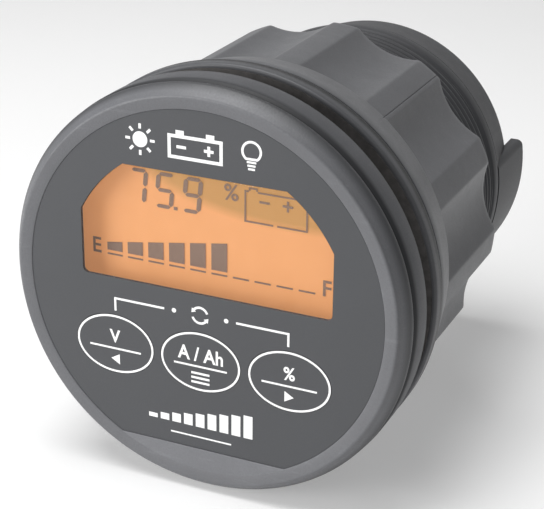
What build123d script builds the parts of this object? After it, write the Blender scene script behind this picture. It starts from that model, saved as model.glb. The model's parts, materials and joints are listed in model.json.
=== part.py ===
"""Round panel-mount battery monitor: fluted ring nut, threaded barrel, D-shaped face and display.

Frame: the axis of the round body is Y. The front faces -Y, +X is the viewer's right, +Z is up.
The origin is on that axis, in the plane of the flange face that rests on the panel.
All lengths are in millimetres. Y stations are named *_Y and grow towards the rear.
"""
from build123d import *
from math import cos, radians, sin
import os

# Bezel and face
BEZEL_R = 32.0            # outside radius of the front ring, flange and clamp ring
FRONT_Y = -7.95           # highest point of the front ring
CROWN_R = 29.3            # radius of that highest point
CROWN_OUT_R = 30.5        # where the crown turns into the shoulder
CROWN_OUT_Y = -7.48
SHOULDER_REAR_Y = -5.4    # where the shoulder ends, at the rim of the seam's groove
RING_EDGE_Y = -7.72       # the ring at its inner edge, and the front of the foot segment
FACE_Y = -7.35            # front of the face overlay
OVERLAY_T = 0.5
LABEL_R = 28.35           # overlay, a circle with a flat at its foot
LABEL_FLAT_Z = -24.95
LABEL_GAP = 0.08
FOOT_R = 28.7             # foot segment below the overlay, run a little way into the ring
PLATE_REAR_Y = -5.4       # back of the bezel's plate
SEAM_Y = -4.7             # joint between bezel and barrel flange
SEAM_CHAMFER = 0.22
SEAM_GROOVE_R = 31.65     # bottom of the V-groove round the side at that joint
SEAM_GROOVE_REAR_Y = -4.35
LIP_IN_R = 29.3           # bezel's locating lip
LIP_OUT_R = 29.9
LIP_REAR_Y = -4.0

# Window in the face, and the lens behind it
WINDOW_X = 0.5
WINDOW_HALF = 20.05
WINDOW_LOW_Z = 0.55
WINDOW_HIGH_Z = 18.75
WINDOW_ARC_R = 22.75
WINDOW_CORNER_R = 0.9
LENS_GAP = 0.05
LENS_BODY = 1.9           # how far the lens body reaches past the window, all round
LENS_FLANGE = 3.0         # how far its flange does
LENS_REAR_Y = -4.5
GLUE_T = 0.1
GLUE_INSET = 0.2          # adhesive kept back from the plate's opening

# Keys and their switches
KEY_X = (-14.45, -0.15, 14.15)
KEY_NAMES = ("left", "middle", "right")
KEY_Z = -10.35
KEY_A = 6.52              # half width of the oval
KEY_B = 4.8               # half height of the oval
KEY_GAP = 0.07
KEY_FLANGE = 0.55
KEY_FLANGE_FRONT_Y = -5.35
KEY_FLANGE_REAR_Y = -4.8
KEY_STEM_R = 2.2
SWITCH_TOP_Y = -4.0       # front end of the switch plunger
SWITCH_BODY_Y = -3.0
SWITCH_WIDTH = 6.0
SWITCH_FLOOR_Y = -0.3
PLUNGER_R = 1.7
PLUNGER_GAP = 0.08
PLUNGER_REAR_Y = -1.65
DOME_Y = -1.25
DOME_T = 0.12
DOME_TOP_R = 1.1
DOME_FOOT_R = 2.3
DOME_BORE_R = 1.0
DOME_CHAMBER_R = 2.4
DOME_CHAMBER_Y = -1.45

# Barrel
BARREL_R = 26.0
BORE_R = 24.0
POCKET_R = 30.0
POCKET_Y = -1.7           # floor of the pocket behind the bezel
FLANGE_CHAMFER = 0.3
NECK_REAR_Y = 4.0         # smooth neck that the panel hole fits
NECK_RAMP = 0.4
THREAD_R = 25.95
THREAD_ROOT_R = 25.1
THREAD_PITCH = 1.5
THREAD_FRONT_Y = 5.0
THREAD_TURNS = 31
THREAD_CREST = (0.55, 0.75)   # start and end of a crest within the pitch
THREAD_FOOT = 1.3             # end of its rear flank
BAND_R = 25.85            # plain band behind the thread
BAND_RAMP = 0.35
BARREL_REAR_Y = 54.2
SEAL_R = 30.8             # bezel seal
SEAL_Y = -4.3
SEAL_THICKNESS_R = 0.38
SEAL_GROOVE_WIDTH = 0.8
SEAL_GROOVE_LENGTH = 1.6
RAIL_IN_X = 21.4          # rails that hold the main board
RAIL_OUT_X = 24.6
RAIL_T = 1.0
RAIL_GAP = 0.1

# Clamp ring and ring nut
GAP_Y = 4.0               # front of the clamp ring, so the panel gap at rest
CLAMP_FACE_R = 31.5       # flat part of its front
CLAMP_ROUND = 0.5
CLAMP_REAR_Y = 7.35
CLAMP_CHAMFER_R = 0.5
CLAMP_CHAMFER_Y = 1.1
GASKET_R = 31.3           # foam gasket let into its front
GASKET_T = 0.6
NUT_BORE_R = 26.3
NUT_FRONT_Y = 7.4
NUT_CONE_R = 31.75
NUT_FRONT_CHAMFER = 0.35
FLUTE_START_Y = 15.6
NUT_R = 30.0
NUT_REAR_Y = 39.3
NUT_REAR_CHAMFER = 0.3
NUT_BORE_CHAMFER = 0.6
FLUTES = 12
FLUTE_R = 12.3
FLUTE_CENTRE_R = 40.4
FLUTE_PHASE = 69.25       # angle of one flute from +X
PARTING_ANGLE = 51.4      # mould line on one crest, and on the crest opposite
PARTING_WIDTH = 0.2
PARTING_DEPTH = 0.12
PARTING_FRONT_Y = 15.0

# Rear cover
COVER_FRONT_R = 25.7
COVER_REAR_R = 24.15
COVER_IN_R = 22.5
COVER_REAR_Y = 64.1
COVER_WALL = 2.1
COVER_CHAMFER = 0.4
SPIGOT_R = 23.9
SPIGOT_FRONT_Y = 51.2
SHROUD_R = 25.9
SHROUD_IN_R = 23.9
SHROUD_TOP_Z = 4.5
SHROUD_CORNER_R = 1.1
SHROUD_REAR_Y = 68.6
REAR_SEAL_R = 23.44
REAR_SEAL_Y = 52.7
REAR_SEAL_THICKNESS_R = 0.5
REAR_GROOVE_R = 22.9
REAR_GROOVE_LENGTH = 1.4
PLUG_OPENING = (-15.0, 15.0, -15.0, -3.0)     # low X, high X, low Z, high Z
SOCKET_OPENING = (-8.0, 8.0, -0.5, 12.9)

# Screws that hold the bezel, from behind the flange
BEZEL_SCREW_R = 27.0
BEZEL_SCREW_ANGLES = (90, -20, -90, -160)
BEZEL_BOSS_R = 2.0
BEZEL_BOSS_REAR_Y = -3.0
BEZEL_BOSS_HOLE_R = 0.95
BEZEL_HOLE_FRONT_Y = -6.4
BEZEL_HEAD_RECESS_R = 1.7
BEZEL_HEAD_RECESS_Y = -1.2
BEZEL_SHANK_HOLE_R = 1.05
BOSS_CLEARANCE_R = 2.35

# Screws that hold the rear cover
COVER_SCREW_R = 21.6
COVER_SCREW_ANGLES = (38, 142, -90)
COVER_BOSS_R = 3.0
COVER_BOSS_FRONT_Y = 38.0
COVER_BOSS_REAR_Y = 51.0
COVER_BOSS_HOLE_R = 1.15
COVER_BOSS_HOLE_Y = 42.0
COVER_TUBE_R = 2.3
COVER_TUBE_FRONT_Y = 51.1
COVER_HEAD_RECESS_R = 2.0
COVER_HEAD_RECESS_DEPTH = 1.8
COVER_SHANK_HOLE_R = 1.25

# Display stack
GLASS_HALF = 22.9
GLASS_LOW_Z = -2.8
GLASS_HIGH_Z = 20.2
GLASS_ARC_R = 28.5
GLASS_LEDGE = 1.4         # contact strip of the front glass, left clear by the rear glass
FILM_T = 0.2
GLASS_FRONT_Y = -3.5
GLASS_T = 0.7
GUIDE_HALF = 20.5
GUIDE_LOW_Z = -1.2
GUIDE_HIGH_Z = 18.6
GUIDE_ARC_R = 23.2
SHEET_T = 0.1             # reflector behind the light guide
FRAME_FRONT_Y = -4.35
FRAME_PLATE_REAR_Y = -3.4
FRAME_R = 28.9
FRAME_GAP = 0.1
TRAY_HALF = 25.2          # thick part of the frame, round the display
TRAY_LOW_Z = -4.4
TRAY_HIGH_Z = 22.6
GUIDE_POCKET_FRONT_Y = -2.2
STEM_HOLE_GAP = 0.3
ZEBRA_ROWS = ((-2.7, -1.5, 19.0), (18.9, 20.1, 12.0))   # low Z, high Z, half width
LED_IN_X = 20.7
LED_OUT_X = 21.9
LED_FRONT_Y = -1.2
LED_ZS = (2.6, 6.8)
LED_HEIGHT = 2.6

# Boards
BOARD_T = 1.6
DISPLAY_BOARD_Y = 0.2
DISPLAY_BOARD_R = 23.6
BOARD_SCREWS = ((-20.8, -4.7), (20.8, -4.7), (-9.0, -19.5), (9.0, -19.5))
POST_R = 1.4
POST_HOLE_R = 0.75
POST_HOLE_DEPTH = 1.7
BOARD_HOLE_R = 0.9
MAIN_TOP_Z = -0.2
MAIN_HALF = 22.7
MAIN_FRONT_Y = 7.0
MAIN_REAR_Y = 50.0

# Header that joins the two boards
LINK_WAYS = 10
LINK_PITCH = 2.54
LINK_HALF = 12.9
LINK_LOW_Z = -0.1
LINK_HIGH_Z = 2.4
LINK_T = 2.5
LINK_PIN_Z = 1.15
LINK_PIN = 0.6
LINK_PIN_REAR_Y = 9.3

# Terminals
WAYS = 8
WAY_PITCH = 3.5
PLUG_HALF = 14.45
PLUG_LOW_Z = -14.45
PLUG_HIGH_Z = -3.55
PLUG_FRONT_Y = 44.4
PLUG_REAR_Y = 66.5
CAGE_FRONT_Y = 47.0       # chamber that holds a way's clamp cage
CAGE_REAR_Y = 64.0
CHAMBER_WIDTH = 2.7
CHAMBER_LOW_Z = -13.0
CHAMBER_HIGH_Z = -8.2
PIN_SLOT = 1.5
CAGE_LOW_Z = -12.9
CAGE_HIGH_Z = -8.3
CAGE_WIDTH = 2.6
CAGE_WALL_X = 0.4
CAGE_WALL_Z = 0.6
CAGE_START_Y = 50.0
CAGE_END_Y = 63.0
WIRE_Z = -10.6
WIRE_HOLE = 2.4
CLAMP_SCREW_Z = -6.0
CLAMP_SCREW_R = 1.2
CLAMP_SCREW_GAP = 0.08
CLAMP_SCREW_HEAD_Y = 65.6
CLAMP_HOLE_DEPTH = 11.0
HEADER_HALF = 15.7
HEADER_LOW_Z = -15.7
HEADER_FRONT_Y = 42.0
HEADER_REAR_Y = 54.5
HEADER_WALL = 2.0
HEADER_CAVITY = 14.6      # half width of the cavity, and its depth below the axis
HEADER_CAVITY_TOP_Z = -3.4
HEADER_PIN = 0.9
HEADER_PIN_REAR_Y = 52.0

# Communication socket
SOCKET_HALF = 7.5
SOCKET_HIGH_Z = 12.6
SOCKET_FRONT_Y = 48.5
SOCKET_REAR_Y = 63.8
PORT_HALF = 5.9
PORT_LOW_Z = 2.4
PORT_HIGH_Z = 9.3
PORT_FRONT_Y = 52.0
LATCH_FRONT_Y = 55.0
LATCH_STEPS = ((3.0, 10.5), (1.6, 11.6))      # half width and top of each latch slot
CONTACTS = 6
CONTACT_PITCH = 1.27
CONTACT_WIRE = 0.36

OVERCUT = 1.0             # how far a cut runs past the face it opens

RING_IN_R = LABEL_R + LABEL_GAP
OVERLAY_REAR_Y = FACE_Y + OVERLAY_T
REAR_GLASS_Y = GLASS_FRONT_Y + GLASS_T
REAR_FILM_Y = REAR_GLASS_Y + GLASS_T
GUIDE_FRONT_Y = REAR_FILM_Y + FILM_T
DISPLAY_BOARD_REAR_Y = DISPLAY_BOARD_Y + BOARD_T
MAIN_LOW_Z = MAIN_TOP_Z - BOARD_T
WAY_XS = [(i - (WAYS - 1) / 2) * WAY_PITCH for i in range(WAYS)]
LINK_XS = [(i - (LINK_WAYS - 1) / 2) * LINK_PITCH for i in range(LINK_WAYS)]
KEY_CENTRES = [(x, KEY_Z) for x in KEY_X]


def save(piece, name):
    """Label a finished piece and write its STEP file."""
    piece.part.label = name
    export_step(piece.part, f"parts/{name}.step")


def facing(y):
    """Sketch plane across the body at station y: local x is X and local y is Z."""
    return Plane.XZ.offset(-y)


def reach(start_y, end_y):
    """Extrusion amount that carries a facing(start_y) sketch to station end_y."""
    return start_y - end_y


def around(radius, angles):
    """Points on a circle about the axis, as (x, z)."""
    return [(radius * cos(radians(a)), radius * sin(radians(a))) for a in angles]


BEZEL_SCREWS = around(BEZEL_SCREW_R, BEZEL_SCREW_ANGLES)
COVER_SCREWS = around(COVER_SCREW_R, COVER_SCREW_ANGLES)


def bars(points, radius, start_y, end_y, mode=Mode.ADD):
    """Round bars along Y, one at each (x, z) point."""
    with BuildSketch(facing(start_y)) as bar_ends:
        with Locations(points):
            Circle(radius)
    extrude(bar_ends.sketch, amount=reach(start_y, end_y), mode=mode)


def slab(low, high, mode=Mode.ADD):
    """Axis-aligned block between two corners."""
    size = [b - a for a, b in zip(low, high)]
    centre = [(a + b) / 2 for a, b in zip(low, high)]
    with Locations(tuple(centre)):
        Box(*size, mode=mode)


def screws(points, head_y, head_r, head_t, slot, shank_r, shank, crossed=False):
    """Screws that point forwards; slot is the length, width and depth of the drive in the head."""
    length, width, depth = slot
    bars(points, head_r, head_y, head_y - head_t)
    for x, z in points:
        slab((x - length / 2, head_y - depth, z - width / 2),
             (x + length / 2, head_y, z + width / 2), Mode.SUBTRACT)
        if crossed:
            slab((x - width / 2, head_y - depth, z - length / 2),
                 (x + width / 2, head_y, z + length / 2), Mode.SUBTRACT)
    bars(points, shank_r, head_y - head_t, head_y - head_t - shank)


def clipped_window(half, low, high, arc_r, centre_x=0.0, corner_r=WINDOW_CORNER_R):
    """Rectangle whose upper corners are cut by a circle about the axis."""
    with Locations((centre_x, (low + high) / 2)):
        Rectangle(2 * half, high - low)
    with Locations((centre_x, 0)):
        Circle(arc_r, mode=Mode.INTERSECT)
    fillet(vertices().sort_by(Axis.Y)[:2], corner_r)


def window(grow=0.0):
    """Outline of the face window, grown all round."""
    low = WINDOW_LOW_Z - grow
    high = WINDOW_HIGH_Z + grow
    clipped_window(WINDOW_HALF + grow, low, high, WINDOW_ARC_R + grow, WINDOW_X)


def flat_foot_circle(radius, flat_z):
    """Circle with everything below flat_z removed."""
    Circle(radius)
    with Locations((0, flat_z - radius)):
        Rectangle(4 * radius, 2 * radius, mode=Mode.SUBTRACT)


def key_ovals(grow, mode=Mode.ADD):
    """The three key outlines, grown all round."""
    with Locations(KEY_CENTRES):
        Ellipse(KEY_A + grow, KEY_B + grow, mode=mode)


os.makedirs("parts", exist_ok=True)

# ---------------------------------------------------------------- front of the case

with BuildPart() as front_bezel:
    with BuildSketch(Plane.XY) as ring_profile:
        with BuildLine():
            ring_edge = (RING_IN_R, RING_EDGE_Y)
            crown_end = (CROWN_OUT_R, CROWN_OUT_Y)
            crown = ThreePointArc(ring_edge, (CROWN_R, FRONT_Y), crown_end)
            shoulder = TangentArc(crown_end, (BEZEL_R, SHOULDER_REAR_Y), tangent=crown % 1)
            Polyline(
                shoulder @ 1,
                (SEAM_GROOVE_R, SEAM_Y),
                (LIP_OUT_R, SEAM_Y),
                (LIP_OUT_R, LIP_REAR_Y),
                (LIP_IN_R, LIP_REAR_Y),
                (LIP_IN_R, PLATE_REAR_Y),
                (0, PLATE_REAR_Y),
                (0, OVERLAY_REAR_Y),
                (RING_IN_R, OVERLAY_REAR_Y),
                ring_edge,
            )
        make_face()
    revolve(axis=Axis.Y)
    with BuildSketch(facing(OVERLAY_REAR_Y)) as foot_segment:
        Circle(FOOT_R)
        with Locations((0, LABEL_FLAT_Z - LABEL_GAP + FOOT_R)):
            Rectangle(4 * FOOT_R, 2 * FOOT_R, mode=Mode.SUBTRACT)
    extrude(amount=reach(OVERLAY_REAR_Y, RING_EDGE_Y))
    bars(BEZEL_SCREWS, BEZEL_BOSS_R, PLATE_REAR_Y, BEZEL_BOSS_REAR_Y)
    bars(BEZEL_SCREWS, BEZEL_BOSS_HOLE_R, BEZEL_BOSS_REAR_Y, BEZEL_HOLE_FRONT_Y, Mode.SUBTRACT)
    with BuildSketch(facing(PLATE_REAR_Y)) as face_openings:
        window(LENS_BODY)
        key_ovals(KEY_GAP)
    extrude(amount=reach(PLATE_REAR_Y, FRONT_Y), mode=Mode.SUBTRACT)
save(front_bezel, "front_bezel")

with BuildPart() as face_overlay:
    with BuildSketch(facing(FACE_Y)):
        flat_foot_circle(LABEL_R, LABEL_FLAT_Z)
        with BuildSketch(mode=Mode.SUBTRACT):
            window()
        key_ovals(KEY_GAP, mode=Mode.SUBTRACT)
    extrude(amount=reach(FACE_Y, OVERLAY_REAR_Y))
save(face_overlay, "face_overlay")

with BuildPart() as window_lens:
    # the part that fills the overlay's window, then the body in the plate, then the flange
    with BuildSketch(facing(FACE_Y + LENS_GAP)):
        window(-LENS_GAP)
    extrude(amount=reach(FACE_Y + LENS_GAP, LENS_REAR_Y))
    with BuildSketch(facing(OVERLAY_REAR_Y)):
        window(LENS_BODY - LENS_GAP)
    extrude(amount=reach(OVERLAY_REAR_Y, LENS_REAR_Y))
    with BuildSketch(facing(PLATE_REAR_Y + GLUE_T)):
        window(LENS_FLANGE)
    extrude(amount=reach(PLATE_REAR_Y + GLUE_T, LENS_REAR_Y))
save(window_lens, "window_lens")

with BuildPart() as lens_adhesive:
    with BuildSketch(facing(PLATE_REAR_Y)):
        window(LENS_FLANGE)
        with BuildSketch(mode=Mode.SUBTRACT):
            window(LENS_BODY + GLUE_INSET)
    extrude(amount=reach(PLATE_REAR_Y, PLATE_REAR_Y + GLUE_T))
save(lens_adhesive, "lens_adhesive")

with BuildPart() as bezel_seal:
    with BuildSketch(Plane.XY):
        with Locations((SEAL_R, SEAL_Y)):
            Circle(SEAL_THICKNESS_R)
    revolve(axis=Axis.Y)
save(bezel_seal, "bezel_seal")

# ---------------------------------------------------------------- barrel

with BuildPart() as threaded_barrel:
    outline = [
        (POCKET_R, SEAM_Y),
        (SEAM_GROOVE_R, SEAM_Y),
        (BEZEL_R, SEAM_GROOVE_REAR_Y),
        (BEZEL_R, -FLANGE_CHAMFER),
        (BEZEL_R - FLANGE_CHAMFER, 0),
        (BARREL_R, 0),
        (BARREL_R, NECK_REAR_Y),
        (THREAD_ROOT_R, NECK_REAR_Y + NECK_RAMP),
    ]
    for turn in range(THREAD_TURNS):
        root_y = THREAD_FRONT_Y + turn * THREAD_PITCH
        outline.append((THREAD_ROOT_R, root_y))
        for crest in THREAD_CREST:
            outline.append((THREAD_R, root_y + crest))
        outline.append((THREAD_ROOT_R, root_y + THREAD_FOOT))
    thread_rear_y = THREAD_FRONT_Y + THREAD_TURNS * THREAD_PITCH
    outline += [
        (THREAD_ROOT_R, thread_rear_y),
        (BAND_R, thread_rear_y + BAND_RAMP),
        (BAND_R, BARREL_REAR_Y - SEAM_CHAMFER),
        (BAND_R - SEAM_CHAMFER, BARREL_REAR_Y),
        (BORE_R, BARREL_REAR_Y),
        (BORE_R, POCKET_Y),
        (POCKET_R, POCKET_Y),
    ]
    with BuildSketch(Plane.XY) as barrel_profile:
        with BuildLine():
            Polyline(*outline, close=True)
        make_face()
    revolve(axis=Axis.Y)
    # groove for the bezel seal
    with BuildSketch(Plane.XY) as seal_groove:
        with Locations((SEAL_R, SEAM_Y)):
            Rectangle(SEAL_GROOVE_WIDTH, SEAL_GROOVE_LENGTH)
    revolve(axis=Axis.Y, mode=Mode.SUBTRACT)
    # pads under the bezel screws, then their stepped holes
    bars(BEZEL_SCREWS, BEZEL_BOSS_R, POCKET_Y, BEZEL_BOSS_REAR_Y)
    bars(BEZEL_SCREWS, BEZEL_HEAD_RECESS_R, 0, BEZEL_HEAD_RECESS_Y, Mode.SUBTRACT)
    bars(BEZEL_SCREWS, BEZEL_SHANK_HOLE_R, 0, SEAM_Y, Mode.SUBTRACT)
    # rails above and below each edge of the main board
    for left_x in (-RAIL_OUT_X, RAIL_IN_X):
        right_x = left_x + RAIL_OUT_X - RAIL_IN_X
        for low_z in (MAIN_TOP_Z + RAIL_GAP, MAIN_LOW_Z - RAIL_GAP - RAIL_T):
            slab((left_x, MAIN_FRONT_Y, low_z), (right_x, MAIN_REAR_Y, low_z + RAIL_T))
    # bosses for the rear cover's screws
    bars(COVER_SCREWS, COVER_BOSS_R, COVER_BOSS_FRONT_Y, COVER_BOSS_REAR_Y)
    bars(COVER_SCREWS, COVER_BOSS_HOLE_R, COVER_BOSS_REAR_Y, COVER_BOSS_HOLE_Y, Mode.SUBTRACT)
save(threaded_barrel, "threaded_barrel")

with BuildPart() as bezel_screws:
    screws(BEZEL_SCREWS, -0.1, head_r=1.6, head_t=1.0, slot=(2.4, 0.4, 0.5),
           shank_r=0.9, shank=4.9, crossed=True)
save(bezel_screws, "bezel_screws")

# ---------------------------------------------------------------- clamp ring and ring nut

with BuildPart() as clamp_ring:
    with BuildSketch(Plane.XY) as clamp_profile:
        with BuildLine():
            front = Line((GASKET_R, GAP_Y), (CLAMP_FACE_R, GAP_Y))
            rim = TangentArc(front @ 1, (BEZEL_R, GAP_Y + CLAMP_ROUND), tangent=front % 1)
            Polyline(
                rim @ 1,
                (BEZEL_R, CLAMP_REAR_Y - CLAMP_CHAMFER_Y),
                (BEZEL_R - CLAMP_CHAMFER_R, CLAMP_REAR_Y),
                (NUT_BORE_R, CLAMP_REAR_Y),
                (NUT_BORE_R, GAP_Y + GASKET_T),
                (GASKET_R, GAP_Y + GASKET_T),
                front @ 0,
            )
        make_face()
    revolve(axis=Axis.Y)
save(clamp_ring, "clamp_ring")

with BuildPart() as panel_gasket:
    with BuildSketch(facing(GAP_Y)) as gasket_section:
        Circle(GASKET_R)
        Circle(NUT_BORE_R, mode=Mode.SUBTRACT)
    extrude(amount=reach(GAP_Y, GAP_Y + GASKET_T))
save(panel_gasket, "panel_gasket")

with BuildPart() as ring_nut:
    with BuildSketch(Plane.XY) as nut_profile:
        with BuildLine():
            Polyline(
                (NUT_BORE_R, NUT_FRONT_Y),
                (NUT_CONE_R - NUT_FRONT_CHAMFER, NUT_FRONT_Y),
                (NUT_CONE_R, NUT_FRONT_Y + NUT_FRONT_CHAMFER),
                (NUT_R, FLUTE_START_Y),
                (NUT_R, NUT_REAR_Y - NUT_REAR_CHAMFER),
                (NUT_R - NUT_REAR_CHAMFER, NUT_REAR_Y),
                (NUT_BORE_R + NUT_BORE_CHAMFER, NUT_REAR_Y),
                (NUT_BORE_R, NUT_REAR_Y - NUT_BORE_CHAMFER),
                close=True,
            )
        make_face()
    revolve(axis=Axis.Y)
    with BuildSketch(facing(FLUTE_START_Y)) as flutes:
        with PolarLocations(FLUTE_CENTRE_R, FLUTES, start_angle=FLUTE_PHASE):
            Circle(FLUTE_R)
    extrude(amount=reach(FLUTE_START_Y, NUT_REAR_Y + OVERCUT), mode=Mode.SUBTRACT)
    with BuildSketch(facing(PARTING_FRONT_Y)) as parting_lines:
        with PolarLocations(NUT_R, 2, start_angle=PARTING_ANGLE):
            Rectangle(2 * PARTING_DEPTH, PARTING_WIDTH)
    extrude(amount=reach(PARTING_FRONT_Y, NUT_REAR_Y + OVERCUT), mode=Mode.SUBTRACT)
save(ring_nut, "ring_nut")

# ---------------------------------------------------------------- rear cover

with BuildPart() as rear_cover:
    with BuildSketch(Plane.XY) as cover_profile:
        with BuildLine():
            Polyline(
                (0, COVER_REAR_Y),
                (COVER_REAR_R - COVER_CHAMFER, COVER_REAR_Y),
                (COVER_REAR_R, COVER_REAR_Y - COVER_CHAMFER),
                (COVER_FRONT_R, BARREL_REAR_Y + SEAM_CHAMFER),
                (COVER_FRONT_R - SEAM_CHAMFER, BARREL_REAR_Y),
                (SPIGOT_R, BARREL_REAR_Y),
                (SPIGOT_R, SPIGOT_FRONT_Y),
                (COVER_IN_R, SPIGOT_FRONT_Y),
                (COVER_IN_R, COVER_REAR_Y - COVER_WALL),
                (0, COVER_REAR_Y - COVER_WALL),
                close=True,
            )
        make_face()
    revolve(axis=Axis.Y)
    # shroud: a wall round the lower part that carries on past the end wall
    with BuildSketch(facing(BARREL_REAR_Y + SEAM_CHAMFER)) as shroud_section:
        Circle(SHROUD_R)
        Circle(SHROUD_IN_R, mode=Mode.SUBTRACT)
        with Locations((0, SHROUD_TOP_Z + SHROUD_R)):
            Rectangle(4 * SHROUD_R, 2 * SHROUD_R, mode=Mode.SUBTRACT)
        top_corners = vertices().group_by(Axis.Y)[-1].sort_by(Axis.X)
        fillet(top_corners[0], SHROUD_CORNER_R)
        fillet(vertices().group_by(Axis.Y)[-1].sort_by(Axis.X)[-1], SHROUD_CORNER_R)
    extrude(amount=reach(BARREL_REAR_Y + SEAM_CHAMFER, SHROUD_REAR_Y))
    # tubes round the cover screws, with stepped holes
    with BuildSketch(facing(COVER_TUBE_FRONT_Y)) as screw_tubes:
        with Locations(COVER_SCREWS):
            Circle(COVER_TUBE_R)
        Circle(SPIGOT_R, mode=Mode.INTERSECT)
    extrude(amount=reach(COVER_TUBE_FRONT_Y, COVER_REAR_Y))
    recess_y = COVER_REAR_Y - COVER_HEAD_RECESS_DEPTH
    bars(COVER_SCREWS, COVER_HEAD_RECESS_R, COVER_REAR_Y, recess_y, Mode.SUBTRACT)
    bars(COVER_SCREWS, COVER_SHANK_HOLE_R, COVER_REAR_Y, COVER_BOSS_REAR_Y, Mode.SUBTRACT)
    # openings for the terminal plug and the communication socket
    for low_x, high_x, low_z, high_z in (PLUG_OPENING, SOCKET_OPENING):
        front_y = COVER_REAR_Y - COVER_WALL - OVERCUT
        slab((low_x, front_y, low_z), (high_x, COVER_REAR_Y + OVERCUT, high_z), Mode.SUBTRACT)
    # groove for the rear seal
    with BuildSketch(Plane.XY) as rear_seal_groove:
        with Locations(((REAR_GROOVE_R + SHROUD_R) / 2, REAR_SEAL_Y)):
            Rectangle(SHROUD_R - REAR_GROOVE_R, REAR_GROOVE_LENGTH)
    revolve(axis=Axis.Y, mode=Mode.SUBTRACT)
save(rear_cover, "rear_cover")

with BuildPart() as rear_seal:
    with BuildSketch(Plane.XY):
        with Locations((REAR_SEAL_R, REAR_SEAL_Y)):
            Circle(REAR_SEAL_THICKNESS_R)
    revolve(axis=Axis.Y)
save(rear_seal, "rear_seal")

with BuildPart() as cover_screws:
    head_y = COVER_REAR_Y - 0.3
    screws(COVER_SCREWS, head_y, head_r=1.85, head_t=1.5, slot=(2.6, 0.5, 0.8),
           shank_r=1.1, shank=18.5, crossed=True)
save(cover_screws, "cover_screws")

# ---------------------------------------------------------------- keys and their switches


def build_key(name, x):
    """Oval cap that stands in the face, with its retaining flange and stem."""
    with BuildPart() as key:
        with BuildSketch(facing(FACE_Y)):
            with Locations((x, KEY_Z)):
                Ellipse(KEY_A, KEY_B)
        extrude(amount=reach(FACE_Y, KEY_FLANGE_REAR_Y))
        with BuildSketch(facing(KEY_FLANGE_FRONT_Y)):
            with Locations((x, KEY_Z)):
                Ellipse(KEY_A + KEY_FLANGE, KEY_B + KEY_FLANGE)
        extrude(amount=reach(KEY_FLANGE_FRONT_Y, KEY_FLANGE_REAR_Y))
        bars([(x, KEY_Z)], KEY_STEM_R, KEY_FLANGE_REAR_Y, SWITCH_TOP_Y)
    save(key, f"key_{name}")


def build_switch_plunger(name, x):
    """Round plunger of one switch, which the key stem rests on."""
    with BuildPart() as plunger:
        bars([(x, KEY_Z)], PLUNGER_R, SWITCH_TOP_Y, PLUNGER_REAR_Y)
    save(plunger, f"switch_plunger_{name}")


for key_name, key_x in zip(KEY_NAMES, KEY_X):
    build_key(key_name, key_x)
    build_switch_plunger(key_name, key_x)

with BuildPart() as switch_bodies:
    half = SWITCH_WIDTH / 2
    for x, z in KEY_CENTRES:
        slab((x - half, SWITCH_BODY_Y, z - half), (x + half, DISPLAY_BOARD_Y, z + half))
    bars(KEY_CENTRES, PLUNGER_R + PLUNGER_GAP, SWITCH_BODY_Y, SWITCH_FLOOR_Y, Mode.SUBTRACT)
    bars(KEY_CENTRES, DOME_CHAMBER_R, DOME_CHAMBER_Y, SWITCH_FLOOR_Y, Mode.SUBTRACT)
save(switch_bodies, "switch_bodies")

with BuildPart() as snap_domes:
    bars(KEY_CENTRES, DOME_TOP_R, DOME_Y, DOME_Y + DOME_T)
    bars(KEY_CENTRES, DOME_FOOT_R, DOME_Y + DOME_T, SWITCH_FLOOR_Y)
    bars(KEY_CENTRES, DOME_BORE_R, DOME_Y + DOME_T, SWITCH_FLOOR_Y, Mode.SUBTRACT)
save(snap_domes, "snap_domes")

# ---------------------------------------------------------------- display stack


def glass_outline(grow=0.0, ledge=0.0):
    """Outline of the display glass, drawn in above and below by the ledge."""
    low = GLASS_LOW_Z - grow + ledge
    high = GLASS_HIGH_Z + grow - ledge
    clipped_window(GLASS_HALF + grow, low, high, GLASS_ARC_R + grow)


def guide_outline(grow=0.0):
    """Outline of the light guide behind the glass."""
    clipped_window(GUIDE_HALF + grow, GUIDE_LOW_Z - grow, GUIDE_HIGH_Z + grow, GUIDE_ARC_R + grow)


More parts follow.
